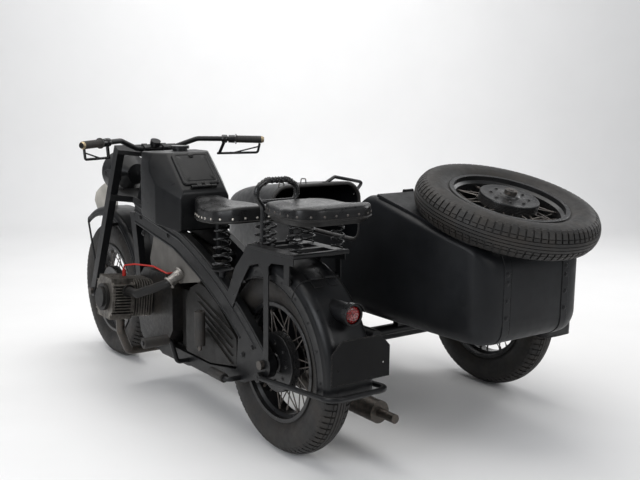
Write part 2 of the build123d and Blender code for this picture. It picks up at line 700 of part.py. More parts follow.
with BuildPart() as saddle_springs:
    for side in (-1, 1):
        at = side * SPRING_X
        coil((at, SPRING_Y, SPRING_BASE), (at, SPRING_Y, SPRING_TOP), 34, 24, 5, 5)
    for x, y in PILLION_SPRINGS:
        for side in (-1, 1):
            at = (side * x, y)
            coil((*at, RACK_TOP), (*at, PILLION_LOW), 20, 20, 4, 3.5)
write(saddle_springs, "saddle_springs")

HOOP_R = 12.0
HOOP_Y = 64.0
HOOP_HALF = ((58, RACK_TOP), (58, 862), (84, 895), (80, 930), (42, 951))  # X, Z from a foot up
HOOP_BAR_Z = 878.0

with BuildPart() as grab_hoop:
    path = [(-x, HOOP_Y, z) for x, z in HOOP_HALF]
    bent_tube(path + [(-x, y, z) for x, y, z in reversed(path)], HOOP_R, 30)
    rod((-66, HOOP_Y, HOOP_BAR_Z), (66, HOOP_Y, HOOP_BAR_Z), 8)
write(grab_hoop, "grab_hoop")


def arch_plane(hub, start):
    """A plane whose x is the axle and whose y is the radius at the start angle above forward."""
    angle = math.radians(start)
    return Plane(
        origin=hub, x_dir=(1, 0, 0), z_dir=(0, -math.sin(angle), math.cos(angle))
    )


def fender_outline(half, outer, inner, shoulder, sheet=4.0):
    """A deep mudguard's section, in (across, radius)."""
    outside = [(half, inner), (half, outer - shoulder), (half - shoulder * 0.7, outer)]
    edge = half - sheet
    inside = [(edge - shoulder * 0.7, outer - sheet), (edge, outer - shoulder - sheet), (edge, inner)]
    ring = [(-x, r) for x, r in outside]
    return ring + outside[::-1] + inside[::-1] + [(-x, r) for x, r in inside]


FENDER_OUT, FENDER_IN = 379.0, 300.0

with BuildPart() as rear_fender:
    turned(arch_plane(REAR_HUB, 65), fender_outline(FENDER_HALF, FENDER_OUT, FENDER_IN, 18), 120)
write(rear_fender, "rear_fender")

LAMP_Z, LAMP_Y = 564.0, -352.0
PLATE_Y = -404.0
PLATE_OUTLINE = ((115, 362), (115, 462), (78, 501))
PLATE_BOLT = (90.0, 410.0)  # X, Z
PLATE_BOLT_R = 3.2

with BuildPart() as tail_lamp:
    rod((0, -240, LAMP_Z), (0, LAMP_Y, LAMP_Z), 33)
    rod((0, LAMP_Y, LAMP_Z), (0, LAMP_Y - 14, LAMP_Z), 36)
    rod((0, LAMP_Y, LAMP_Z), (0, LAMP_Y - 14, LAMP_Z), 29.3, Mode.SUBTRACT)
    rod((-100, 0, TYRE_R), (100, 0, TYRE_R), FENDER_OUT + SEAT_GAP, Mode.SUBTRACT)
write(tail_lamp, "tail_lamp")

with BuildPart() as tail_lens:
    rod((0, LAMP_Y - SEAT_GAP, LAMP_Z), (0, LAMP_Y - 16, LAMP_Z), 29)
write(tail_lens, "tail_lens")

with BuildPart() as number_plate:
    plate_plane = Plane(origin=(0, PLATE_Y, 0), x_dir=(1, 0, 0), z_dir=(0, -1, 0))
    slab(plate_plane, both_sides(PLATE_OUTLINE), 3)
    for side in (-1, 1):
        bolt = (side * PLATE_BOLT[0], PLATE_Y + 1, PLATE_BOLT[1])
        rod(bolt, (bolt[0], PLATE_Y - 4, bolt[2]), PLATE_BOLT_R, Mode.SUBTRACT)
    for side in (-1, 1):
        rod((side * 40, -340, 440), (side * 40, PLATE_Y, 440), 8)
    rod((-100, 0, TYRE_R), (100, 0, TYRE_R), FENDER_OUT + SEAT_GAP, Mode.SUBTRACT)
write(number_plate, "number_plate")

STAND_TUBE_R = 9.0
STAND_REAR = (-412.0, 320.0)  # Y, Z

with BuildPart() as rear_stand:
    bent_tube(
        [
            (-STAND_LEG_X, -14, STAND_Z + 1), (-STAND_LEG_X, *STAND_REAR), (STAND_LEG_X, *STAND_REAR),
            (STAND_LEG_X, -14, STAND_Z + 1),
        ],
        STAND_TUBE_R,
        45,
    )
    for side in (-1, 1):
        near, far = side * (STAND_LEG_X - 9.5), side * (STAND_LEG_X + 8)
        rod((near, STAND_Y, STAND_Z), (far, STAND_Y, STAND_Z), 18)
        rod((near, STAND_Y, STAND_Z), (far, STAND_Y, STAND_Z), STAND_PIN_R + RUNNING, Mode.SUBTRACT)
write(rear_stand, "rear_stand")

# ---------------------------------------------------------------- fork, bars and front mudguard
BLADE_IN = BLADE_X - BLADE_W / 2
BLADE_OUT = BLADE_X + BLADE_W / 2
BLADE_TOP = 760.0
YOKES = ((509.0, 30.0), (741.0, 20.0))  # lower face along the steering axis, thickness
YOKE_PLAN = ((26, -90), (50, -52), (BLADE_OUT, -22), (BLADE_OUT, 21))
BAR_AT = (1014.0, 1010.0)  # the handlebar's middle, Y and Z
BAR_BEND = Vector(265, 890, 1050)
BAR_SWEEP = Vector(154.5, -97, -4).normalized()
GRIP_R = 16.0
GRIP_LONG = 125.0
grip_end_x = BAR_HALF - GRIP_R * math.sqrt(1 - BAR_SWEEP.X**2)
BAR_END = BAR_BEND + BAR_SWEEP * ((grip_end_x - BAR_BEND.X) / BAR_SWEEP.X)


def across(side, point):
    """The point on one side of the motorcycle, from its right-hand twin."""
    return (side * point.X, point.Y, point.Z)


with BuildPart() as fork:
    for x in (BLADE_IN, -BLADE_OUT):
        slab(fork_plane(x), ((-21, 10), (21, 10), (21, BLADE_TOP), (-21, BLADE_TOP)), BLADE_W)
        rod((x, WHEELBASE, TYRE_R), (x + BLADE_W, WHEELBASE, TYRE_R), 26)
        rod((x, WHEELBASE, TYRE_R), (x + BLADE_W, WHEELBASE, TYRE_R), AXLE_R, Mode.SUBTRACT)
    for low, thick in YOKES:
        yoke_plane = Plane(origin=fork_point(0, 0, low), x_dir=(1, 0, 0), z_dir=FORK_UP)
        slab(yoke_plane, both_sides(YOKE_PLAN), thick)
    rod(
        fork_point(0, -FORK_OFFSET, YOKES[0][0]),
        fork_point(0, -FORK_OFFSET, YOKES[1][0] + YOKES[1][1]),
        STEM_R,
    )
write(fork, "fork")

with BuildPart() as front_axle:
    rod((-BLADE_OUT, WHEELBASE, TYRE_R), (BLADE_OUT, WHEELBASE, TYRE_R), AXLE_R)
    for side in (-1, 1):
        rod((side * BLADE_OUT, WHEELBASE, TYRE_R), (side * (BLADE_OUT + 14), WHEELBASE, TYRE_R), 16)
        turned(
            wheel_plane(FRONT_HUB, (side, 0, 0)),
            ((HUB_END + 0.5, AXLE_R), (HUB_END + 0.5, 20), (100, 20), (100, AXLE_R)),
        )
write(front_axle, "front_axle")

CLAMP_X = 45.0

with BuildPart() as handlebar:
    path = [across(-1, BAR_END), across(-1, BAR_BEND), (-180, 962, 1050), (-80, *BAR_AT)]
    bent_tube(path + [(-x, y, z) for x, y, z in reversed(path)], BAR_R, 60)
    clamp_low = YOKES[1][0] + YOKES[1][1]
    for x in (-CLAMP_X - 11, CLAMP_X - 11):
        slab(
            fork_plane(x),
            ((-90, clamp_low), (-48, clamp_low), (-48, clamp_low + 44), (-90, clamp_low + 44)),
            22,
            bend=6,
        )
    rod(fork_point(0, -FORK_OFFSET, clamp_low), fork_point(0, -FORK_OFFSET, 802), 6)
    rod(fork_point(0, -FORK_OFFSET, 802), fork_point(0, -FORK_OFFSET, 824), 22)
write(handlebar, "handlebar")

with BuildPart() as grips:
    for side in (-1, 1):
        inner_end = BAR_END - BAR_SWEEP * GRIP_LONG
        rod(across(side, inner_end), across(side, BAR_END), GRIP_R)
        rod(across(side, inner_end), across(side, BAR_END), BAR_R, Mode.SUBTRACT)
write(grips, "grips")

LEVER_R = 5.5
LEVER_PIVOT_R = 8.0
LEVER_BEND = 12.0
LEVER_TIP = (255, 911, 986)  # stays clear of the tank when the bars are hard over
LEVER_PATH = ((406, 803, 1020), (394, 814, 990), LEVER_TIP)

with BuildPart() as levers:
    for side in (-1, 1):
        pivot = BAR_END - BAR_SWEEP * 14
        rod(across(side, pivot), (side * 406, 803, 1018), LEVER_PIVOT_R)
        bent_tube([(side * x, y, z) for x, y, z in LEVER_PATH], LEVER_R, LEVER_BEND)
        rod(across(side, BAR_BEND), across(side, BAR_END + BAR_SWEEP * 20), GRIP_R, Mode.SUBTRACT)
write(levers, "levers")

LAMP_AXIS_Z = 886.0
LAMP_SHELL = (  # Y, radius
    (1195, 0), (1200, 45), (1250, 82), (1300, 92), (1378, 95), (1378, 88), (1370, 88), (1370, 0),
)
LAMP_GLASS = ((1370.3, 0), (1370.3, 87.7), (1378, 86), (1388, 45), (1390, 0))
LAMP_EAR = ((1150, 865), (1150, 905), (1300, 905), (1335, 886), (1300, 867))

with BuildPart() as headlamp:
    lamp_plane = wheel_plane((0, 0, LAMP_AXIS_Z), (0, 1, 0))
    turned(lamp_plane, LAMP_SHELL)
    mirrored_slabs(LAMP_EAR, 100, 106)
    for side in (-1, 1):
        rod((side * 88, 1316, LAMP_AXIS_Z), (side * 108, 1316, LAMP_AXIS_Z), 12)
        rod((side * 100, 1158, 885), (side * BLADE_IN, 1158, 885), 14)
write(headlamp, "headlamp")

with BuildPart() as headlamp_lens:
    turned(lamp_plane, LAMP_GLASS)
write(headlamp_lens, "headlamp_lens")

FRONT_FENDER_OUT, FRONT_FENDER_IN, FRONT_FENDER_HALF = 394.0, 352.0, 78.0
FENDER_BOLT = (1256.0, 656.0)  # Y, Z
STAYS = (  # (Y, Z) on the axle plate, (Y, Z) on the mudguard
    ((1417, 339), (1601, 630)),
    ((1394, 323), (1052, 275)),
)

with BuildPart() as front_fender:
    turned(
        arch_plane(FRONT_HUB, 56),
        fender_outline(FRONT_FENDER_HALF, FRONT_FENDER_OUT, FRONT_FENDER_IN, 16),
        134,
    )
    for side in (-1, 1):
        rod((side * 76, *FENDER_BOLT), (side * BLADE_IN, *FENDER_BOLT), 8)
        turned(
            wheel_plane(FRONT_HUB, (side, 0, 0)),
            ((101, AXLE_R), (101, 22), (BLADE_IN, 22), (BLADE_IN, AXLE_R)),
        )
        for low, high in STAYS:
            rod((side * 107, *low), (side * 80, *high), 5)
write(front_fender, "front_fender")

with BuildPart() as front_plate:
    turned(
        arch_plane(FRONT_HUB, 53),
        (
            (-2, FRONT_FENDER_OUT + SEAT_GAP), (-2, 515), (2, 515), (2, FRONT_FENDER_OUT + SEAT_GAP),
        ),
        35,
    )
write(front_plate, "front_plate")

# ---------------------------------------------------------------- sidecar body
TAIL_Y = -478.0
BULKHEAD_Y = (2.0, 12.0)
NOSE_INSIDE_Y = 1440.0
FLOOR_LOW = 407.0
BODY_TABLE = (  # Y, half width, low, high, lower corner radius, upper corner radius
    (TAIL_Y, 173, 465, 655, 40, 40),
    (-474, 199, 441, 689, 50, 45),
    (-462, 224, 421, 712, 60, 45),
    (-440, 246, 404, 731, 70, 35),
    (-421, 257, 398, 740.7, 75, 25),
    (-388, 266, 395, 751, 80, 20),
    (-252, 297, 403, 793.4, 80, 20),
    (DECK_FRONT_Y, 315, FLOOR_LOW, DECK_FRONT_Z, 80, 25),
    (250, 312, FLOOR_LOW, 866, 80, 40),
    (500, 298, FLOOR_LOW, 856, 80, 75),
    (700, 272, FLOOR_LOW, 846, 80, 90),
    (900, 236, FLOOR_LOW, 833, 80, 90),
    (1050, 204, 415, 818, 80, 85),
    (1200, 168, 435, 796, 75, 80),
    (1320, 134, 460, 770, 65, 70),
    (1400, 104, 488, 746, 55, 60),
    (1450, 78, 520, 718, 45, 50),
    (1474, 50, 555, 682, 28, 30),
)


def body_row(y):
    """The body's measures at any Y, between two rows of the table."""
    for before, after in zip(BODY_TABLE, BODY_TABLE[1:]):
        if before[0] <= y <= after[0]:
            part_way = (y - before[0]) / (after[0] - before[0])
            return [a + (b - a) * part_way for a, b in zip(before, after)]
    return None


def body_section(row, inset=0.0):
    """One cross-section of the body with rounded corners."""
    y, half, low, high, low_r, high_r = row
    plane = Plane(origin=(BODY_X, y, 0), x_dir=(1, 0, 0), z_dir=(0, -1, 0))
    x, bottom, top = half - inset, low + inset, high - inset
    with BuildSketch(plane) as section:
        with BuildLine():
            Polyline((-x, bottom), (x, bottom), (x, top), (-x, top), close=True)
        make_face()
        fillet(section.vertices().sort_by(Axis.Y)[:2], low_r - inset)
        fillet(section.vertices().sort_by(Axis.Y)[-2:], high_r - inset)
    return section.sketch


def hollow_rows(start, end):
    """Rows of the body between two places, both ends included."""
    return [body_row(start)] + [row for row in BODY_TABLE if start < row[0] < end] + [body_row(end)]


deck_plane = Plane(
    origin=(BODY_X, DECK_FRONT_Y, DECK_FRONT_Z), x_dir=(1, 0, 0), z_dir=(0, -SPARE_SIN, SPARE_COS)
)
BOOT_MOUTH = ((225, -385), (245, -45))  # across, along the deck
SILL_Z = 690.0
NOTCH_Y = (97.0, 800.0)
NOTCH_BEND = 60.0
BOOT_NOSE = ((40, 960), (40, 884), (98, 835), (98, 960))  # cut off the deck's front corner
RIM_THICK, RIM_DEEP = 12.0, 17.0
BODY_SPAN = 800.0
RIM_REAR = 140.0
HINGE_AT = (8.0, 8.0)  # the boot lid's hinge, along and out of the deck
MUDGUARD_ARMS = ((40.0, 1018.0), (270.0, 1022.0))  # Y, X inside the body's wall
ARM_Z = 640.0


def deck_point(x, along, out):
    """A point given from the front edge of the boot deck."""
    return deck_plane.from_local_coords((x, along, out))


def cut_notch(inset, mode):
    """The cockpit's opening, cut down through both sides and drawn in by the inset."""
    low, high = NOTCH_Y[0] + inset, NOTCH_Y[1] - inset
    outline = ((low, 960), (low, SILL_Z + inset), (high, SILL_Z + inset), (high, 960))
    slab(side_plane(BODY_X - BODY_SPAN / 2), outline, BODY_SPAN, NOTCH_BEND - inset, mode)


with BuildPart() as sidecar_body:
    loft([body_section(row) for row in BODY_TABLE], ruled=True)
    boot_rows = hollow_rows(TAIL_Y + BODY_WALL, BULKHEAD_Y[0])
    cockpit_rows = hollow_rows(BULKHEAD_Y[1], NOSE_INSIDE_Y)
    for rows in (boot_rows, cockpit_rows):
        loft([body_section(row, BODY_WALL) for row in rows], ruled=True, mode=Mode.SUBTRACT)
    slab(deck_plane.offset(-30), both_sides(BOOT_MOUTH), 60, 30, Mode.SUBTRACT)
    cut_notch(0, Mode.SUBTRACT)
    slab(side_plane(BODY_X - BODY_SPAN / 2), BOOT_NOSE, BODY_SPAN, mode=Mode.SUBTRACT)
    for side in (-1, 1):
        for near, far in ((128, 136), (164, 172)):
            rod(deck_point(side * near, *HINGE_AT), deck_point(side * far, *HINGE_AT), 7)
            slab(
                deck_plane.offset(-6),
                [(side * near, 2), (side * far, 2), (side * far, 14), (side * near, 14)],
                HINGE_AT[1] + 6,
            )
        rod(deck_point(side * 128, *HINGE_AT), deck_point(side * 172, *HINGE_AT), HINGE_PIN_R)
    for y, x in MUDGUARD_ARMS:
        rod((x, y, ARM_Z), (TRACK - SIDE_FENDER_HALF, y, ARM_Z), 11)
write(sidecar_body, "sidecar_body")

with BuildPart() as cockpit_rim:
    rim_rows = hollow_rows(NOTCH_Y[0] - 20, NOTCH_Y[1] + 20)
    loft([body_section(row) for row in rim_rows], ruled=True)
    loft([body_section(row, RIM_DEEP) for row in rim_rows], ruled=True, mode=Mode.SUBTRACT)
    cut_notch(SEAT_GAP, Mode.INTERSECT)
    cut_notch(RIM_THICK, Mode.SUBTRACT)
    box((BODY_X - BODY_SPAN / 2, BODY_X + BODY_SPAN / 2), (0, RIM_REAR), (SILL_Z + 160, 960), Mode.SUBTRACT)
write(cockpit_rim, "cockpit_rim")

SEAT_FLOOR = FLOOR_LOW + BODY_WALL + SEAT_GAP
SEAT_HALF = 215.0

with BuildPart() as sidecar_seat:
    slab(
        side_plane(BODY_X - SEAT_HALF),
        (
            (110, SEAT_FLOOR), (500, SEAT_FLOOR), (540, 560), (530, 610), (230, 585), (150, 830),
            (80, 840), (40, 790), (60, 600),
        ),
        2 * SEAT_HALF,
    )
write(sidecar_seat, "sidecar_seat")

GRAB_RAIL = ((765, 822, 828), (823, 812, 862), (990, 812, 828), (938, 817, 770))

with BuildPart() as sidecar_grab_rail:
    bent_tube(GRAB_RAIL, 8, 12)
    loft([body_section(row) for row in hollow_rows(700, 900)], ruled=True, mode=Mode.SUBTRACT)
write(sidecar_grab_rail, "sidecar_grab_rail")

SIDE_FENDER_OUT, SIDE_FENDER_IN = 372.0, 300.0

with BuildPart() as sidecar_fender:
    turned(
        arch_plane(SIDE_HUB, 12),
        fender_outline(SIDE_FENDER_HALF, SIDE_FENDER_OUT, SIDE_FENDER_IN, 18),
        174,
    )
write(sidecar_fender, "sidecar_fender")

# ---------------------------------------------------------------- sidecar chassis
RAILS_X = (425.0, 995.0)
RAILS_Y = (20.0, 940.0)
RAILS_Z = 345.0
FRAME_FACE = RAIL_OUT + SEAT_GAP
CROSS_TUBES = (60.0, 620.0, 900.0)
PAD_X = (BODY_X - 140, BODY_X + 140)
PAD_TOP = FLOOR_LOW - SEAT_GAP
KNUCKLE_X = (1060.0, 1085.0)
LINK_R = 30.0
LINK_LOW, LINK_HIGH = 262.0, 304.0
STRUTS = (  # the frame's end, the chassis end, radius
    ((80, 900, 203), (RAILS_X[0], 900, RAILS_Z), 18),
    ((80, 302, 556), (RAILS_X[0], 120, RAILS_Z + 10), 14),
    ((80, 1010, 620), (RAILS_X[0], 936, RAILS_Z + 10), 14),
)

with BuildPart() as sidecar_chassis:
    for x in RAILS_X:
        rod((x, RAILS_Y[0], RAILS_Z), (x, RAILS_Y[1], RAILS_Z), TUBE_R)
    for y in CROSS_TUBES:
        rod((RAILS_X[0], y, RAILS_Z), (RAILS_X[1], y, RAILS_Z), 18)
        for x in PAD_X:
            box((x - 16, x + 16), (y - 14, y + 14), (RAILS_Z, PAD_TOP))
    bent_tube(
        [(80, LEAD, LINK_LOW), (400, LEAD, LINK_HIGH), (KNUCKLE_X[1], LEAD, LINK_HIGH)], LINK_R, 60
    )
    for frame_end, chassis_end, radius in STRUTS:
        rod(frame_end, chassis_end, radius)
    box(KNUCKLE_X, (LEAD - 32, LEAD + 32), (LINK_HIGH - 22, TYRE_R + 30))
    box((0, FRAME_FACE), (0, 1100), (100, 700), Mode.SUBTRACT)
write(sidecar_chassis, "sidecar_chassis")

with BuildPart() as sidecar_axle:
    rod((KNUCKLE_X[1], LEAD, TYRE_R), (TRACK + HUB_END + 16, LEAD, TYRE_R), AXLE_R)
    rod((TRACK + HUB_END + 0.5, LEAD, TYRE_R), (TRACK + HUB_END + 21, LEAD, TYRE_R), 16)
    rod((KNUCKLE_X[1], LEAD, TYRE_R), (TRACK - HUB_END - 0.5, LEAD, TYRE_R), 20)
write(sidecar_axle, "sidecar_axle")

# ---------------------------------------------------------------- boot lid and spare carrier
LID_PLAN = ((212, -458), (250, -430), (262, -395), (309, -4))
CARRIER_LOW = LID_THICK + SEAT_GAP

with BuildPart() as boot_lid:
    slab(deck_plane.offset(SEAT_GAP), both_sides(LID_PLAN), LID_THICK)
    for side in (-1, 1):
        low, high = sorted((side * 138, side * 162))
        rod(deck_point(low, *HINGE_AT), deck_point(high, *HINGE_AT), 6.5)
        slab(deck_plane.offset(2), ((low, -6), (high, -6), (high, 8), (low, 8)), 7)
        rod(
            deck_point(low - 1, *HINGE_AT),
            deck_point(high + 1, *HINGE_AT),
            HINGE_PIN_R + RUNNING,
            Mode.SUBTRACT,
        )
write(boot_lid, "boot_lid")

with BuildPart() as spare_carrier:
    spare_low = SPARE_HUB + Vector(0, SPARE_SIN, -SPARE_COS) * HUB_END
    spare_up = Vector(0, -SPARE_SIN, SPARE_COS)
    foot = spare_low - spare_up * (SPARE_LIFT * SPARE_COS - HUB_END - CARRIER_LOW)
    rod(foot, spare_low - spare_up * 0.3, 30)
    rod(foot, SPARE_HUB + spare_up * (HUB_END + 16), AXLE_R)
    rod(SPARE_HUB + spare_up * (HUB_END + 0.5), SPARE_HUB + spare_up * (HUB_END + 14), 22)
write(spare_carrier, "spare_carrier")
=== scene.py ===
import json
import math

import bmesh
import bpy
from mathutils import Matrix, Vector


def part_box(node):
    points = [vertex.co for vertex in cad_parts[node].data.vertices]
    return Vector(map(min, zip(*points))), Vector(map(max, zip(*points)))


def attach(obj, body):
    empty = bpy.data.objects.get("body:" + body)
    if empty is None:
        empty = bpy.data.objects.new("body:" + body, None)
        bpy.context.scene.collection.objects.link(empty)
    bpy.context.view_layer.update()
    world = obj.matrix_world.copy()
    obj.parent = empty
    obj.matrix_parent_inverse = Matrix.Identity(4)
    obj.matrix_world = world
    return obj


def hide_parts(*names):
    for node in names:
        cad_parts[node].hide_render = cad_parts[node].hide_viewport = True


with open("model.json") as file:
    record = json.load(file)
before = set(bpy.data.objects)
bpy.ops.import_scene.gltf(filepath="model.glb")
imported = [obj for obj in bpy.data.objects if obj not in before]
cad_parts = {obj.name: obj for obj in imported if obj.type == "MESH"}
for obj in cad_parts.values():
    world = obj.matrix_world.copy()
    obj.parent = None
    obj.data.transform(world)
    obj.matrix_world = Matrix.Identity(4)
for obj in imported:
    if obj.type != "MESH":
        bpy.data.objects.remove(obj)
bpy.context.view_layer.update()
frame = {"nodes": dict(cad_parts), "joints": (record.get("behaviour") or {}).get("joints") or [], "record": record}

"""The looks of a flat-twin motorcycle with a sidecar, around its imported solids. Metres.

Places are written from the ground under the rear axle in the motorcycle's mid-plane, with X to the
sidecar, Y forward and Z up, and at() moves them into the frame.
"""

# ---------------------------------------------------------------- places from the frame
JOINTS = {joint["name"]: joint for joint in frame["joints"]}
REAR_HUB = Vector(JOINTS["rear_wheel_spin"]["pos_m"])
FRONT_HUB = Vector(JOINTS["front_wheel_spin"]["pos_m"])
SIDE_HUB = Vector(JOINTS["sidecar_wheel_spin"]["pos_m"])
ORIGIN = Vector((REAR_HUB.x, REAR_HUB.y, 0))
X_AXIS, Y_AXIS, Z_AXIS = Vector((1, 0, 0)), Vector((0, 1, 0)), Vector((0, 0, 1))


def at(x, y, z):
    """A place measured from the ground under the rear axle."""
    return ORIGIN + Vector((x, y, z))


# ---------------------------------------------------------------- materials
class Nodes:
    """Short calls for wiring one material."""

    def __init__(self, name):
        self.material = bpy.data.materials.new(name)
        self.material.use_nodes = True
        self.tree = self.material.node_tree
        self.tree.nodes.clear()
        self.shader = self.tree.nodes.new("ShaderNodeBsdfPrincipled")
        output = self.tree.nodes.new("ShaderNodeOutputMaterial")
        self.link(self.shader.outputs[0], output.inputs[0])
        self.place = self.tree.nodes.new("ShaderNodeTexCoord").outputs["Object"]
        self.normal = None

    def link(self, source, target):
        self.tree.links.new(source, target)

    def add(self, kind, settings=None, **inputs):
        """A node with its properties and inputs set; an input may be a value or a socket."""
        node = self.tree.nodes.new(kind)
        for key, value in (settings or {}).items():
            setattr(node, key, value)
        for key, value in inputs.items():
            place = int(key[1:]) if key.startswith("i") else key.replace("_", " ")
            socket = node.inputs[place]
            if isinstance(value, bpy.types.NodeSocket):
                self.link(value, socket)
            else:
                socket.default_value = value
        return node

    def noise(self, scale, detail=4.0, rough=0.55, stretch=(1, 1, 1)):
        """A noise value over the piece, in repeats a metre."""
        mapped = self.add("ShaderNodeMapping", Vector=self.place, Scale=stretch).outputs[0]
        node = self.add(
            "ShaderNodeTexNoise", Vector=mapped, Scale=scale, Detail=detail, Roughness=rough
        )
        return node.outputs["Fac"]

    def ranged(self, value, low, high, to_low=0.0, to_high=1.0):
        """A value moved from one range to another, and kept inside it."""
        node = self.add(
            "ShaderNodeMapRange", i0=value, i1=low, i2=high, i3=to_low, i4=to_high
        )
        return node.outputs[0]

    def maths(self, operation, a, b=0.0):
        return self.add("ShaderNodeMath", {"operation": operation}, i0=a, i1=b).outputs[0]

    def mix(self, factor, a, b):
        """One colour over another."""
        node = self.add("ShaderNodeMix", {"data_type": "RGBA"}, i0=factor)
        for socket, value in ((node.inputs[6], a), (node.inputs[7], b)):
            if isinstance(value, bpy.types.NodeSocket):
                self.link(value, socket)
            else:
                socket.default_value = (*value[:3], 1)
        return node.outputs[2]

    def bump(self, height, strength, distance=0.001):
        """Adds relief to what is there already."""
        node = self.add("ShaderNodeBump", Height=height, Strength=strength, Distance=distance)
        if self.normal is not None:
            self.link(self.normal, node.inputs["Normal"])
        self.normal = node.outputs[0]
        self.link(self.normal, self.shader.inputs["Normal"])

    def round_edges(self, radius):
        """Softens sharp edges, and returns a mask that is 1 on them."""
        soft = self.add("ShaderNodeBevel", {"samples": 4}, Radius=radius).outputs[0]
        self.normal = soft
        self.link(soft, self.shader.inputs["Normal"])
        hard = self.tree.nodes.new("ShaderNodeNewGeometry").outputs["Normal"]
        dot = self.add("ShaderNodeVectorMath", {"operation": "DOT_PRODUCT"}, i0=soft, i1=hard)
        return self.ranged(dot.outputs["Value"], 0.999, 0.93)

    def upward(self):
        """How far the surface faces up, from 0 to 1."""
        normal = self.tree.nodes.new("ShaderNodeNewGeometry").outputs["Normal"]
        parts = self.add("ShaderNodeSeparateXYZ", Vector=normal)
        return self.ranged(parts.outputs[2], 0.2, 1.0)

    def finish(self, colour, rough, metallic=0.0, **inputs):
        """Sets the shader's sockets from sockets or plain values."""
        values = {"Base Color": colour, "Roughness": rough, "Metallic": metallic, **inputs}
        for key, value in values.items():
            socket = self.shader.inputs[key]
            if isinstance(value, bpy.types.NodeSocket):
                self.link(value, socket)
            else:
                socket.default_value = (*value, 1) if isinstance(value, tuple) and len(value) == 3 else value
        return self.material


def shade(colour, factor):
    return tuple(channel * factor for channel in colour)


DUST = (0.20, 0.165, 0.125)
BARE_STEEL = (0.16, 0.145, 0.13)


def painted(name, colour, rough, wear=0.35, dust=0.10, peel=0.08, edge=0.0012, sheen=0.26):
    """Old brushed-on paint: uneven gloss, rubbed edges, a little dust on what faces up."""
    n = Nodes(name)
    edges = n.round_edges(edge)
    patches = n.ranged(n.noise(7, 5), 0.35, 0.7)
    tone = n.mix(patches, shade(colour, 0.8), shade(colour, 1.35))
    scratches = n.ranged(n.noise(140, 6, 0.7), 0.45, 0.62)
    worn = n.maths("MULTIPLY", n.maths("MULTIPLY", edges, scratches), wear)
    tone = n.mix(worn, tone, BARE_STEEL)
    settled = n.maths("MULTIPLY", n.upward(), n.ranged(n.noise(23, 6), 0.42, 0.75, 0, dust))
    tone = n.mix(settled, tone, DUST)
    gloss = n.ranged(n.noise(31, 6, 0.65), 0.3, 0.7, rough - 0.07, rough + 0.10)
    n.bump(n.noise(420, 3), peel, 0.0006)
    n.bump(n.noise(9, 2), 0.25, 0.0012)
    return n.finish(tone, gloss, 0.0, **{"Specular IOR Level": sheen})


def cast(name, colour, rough, metallic=0.75, grime=0.55, edge=0.0012):
    """Cast or machined metal with patches of grime."""
    n = Nodes(name)
    edges = n.round_edges(edge)
    stains = n.ranged(n.noise(38, 7, 0.68), 0.38, 0.66)
    tone = n.mix(stains, shade(colour, 0.45), shade(colour, 1.15))
    oil = n.ranged(n.noise(11, 4), 0.5, 0.68, 0, grime)
    tone = n.mix(oil, tone, (0.030, 0.024, 0.018))
    tone = n.mix(n.maths("MULTIPLY", edges, 0.55), tone, shade(colour, 1.7))
    gloss = n.ranged(n.noise(75, 5), 0.3, 0.7, rough - 0.1, rough + 0.12)
    n.bump(n.noise(900, 4, 0.7), 0.35, 0.0004)
    return n.finish(tone, gloss, metallic)


def steel(name, colour, rough, rust=0.2, edge=0.0008):
    """Plain steel, with brown spots."""
    n = Nodes(name)
    n.round_edges(edge)
    spots = n.ranged(n.noise(95, 8, 0.7), 0.5, 0.68, 0, rust)
    tone = n.mix(spots, colour, (0.10, 0.045, 0.02))
    gloss = n.ranged(n.noise(180, 4), 0.3, 0.7, rough - 0.08, rough + 0.12)
    n.bump(n.noise(700, 3), 0.1, 0.0003)
    return n.finish(tone, gloss, n.ranged(spots, 0.0, 0.3, 0.95, 0.3))


def rubber(name, colour, rough, dust=0.4, brown=(0.085, 0.062, 0.044)):
    """Matt rubber, browned and dusty in patches."""
    n = Nodes(name)
    patches = n.ranged(n.noise(13, 6, 0.62), 0.42, 0.72, 0, dust)
    fine = n.ranged(n.noise(160, 5), 0.4, 0.75, 0, dust * 0.6)
    tone = n.mix(patches, colour, brown)
    tone = n.mix(fine, tone, shade(brown, 0.9))
    n.bump(n.noise(1500, 3), 0.18, 0.0003)
    return n.finish(tone, n.ranged(n.noise(50), 0.3, 0.7, rough - 0.08, rough + 0.08))


def hide(name, colour, rough, grain=0.12, coat=0.25):
    """Polished hide over a pressed pan: fine pores, creases with painted shade in their hollows and a painted
    highlight on their ridges, and a waxed gloss.
    """
    n = Nodes(name)
    pores = n.add(
        "ShaderNodeTexVoronoi", {"feature": "DISTANCE_TO_EDGE"}, Vector=n.place, Scale=520.0
    ).outputs["Distance"]
    creases = n.noise(38, 6, 0.6, (1, 2.4, 1))
    # painted shade and light: the tone follows the crease relief, darker in its hollows and lighter on its ridges
    tone = n.mix(n.ranged(creases, 0.4, 0.7), shade(colour, 0.85), shade(colour, 1.3))
    n.bump(n.ranged(pores, 0.0, 0.12), grain, 0.0003)
    n.bump(creases, 0.08, 0.001)
    gloss = n.ranged(n.noise(60, 5), 0.3, 0.7, rough - 0.07, rough + 0.12)
    wax = {"Coat Weight": coat, "Coat Roughness": 0.22, "Specular IOR Level": 0.36}
    return n.finish(tone, gloss, 0.0, **wax)


def clear_glass(name):
    n = Nodes(name)
    ribs = n.add("ShaderNodeTexWave", {"bands_direction": "X"}, Vector=n.place, Scale=26.0)
    n.bump(ribs.outputs["Fac"], 0.35, 0.001)
    dusty = n.ranged(n.noise(40), 0.4, 0.8, 0.05, 0.22)
    return n.finish((0.82, 0.86, 0.86), dusty, 0.0, **{"Transmission Weight": 0.75, "IOR": 1.5})


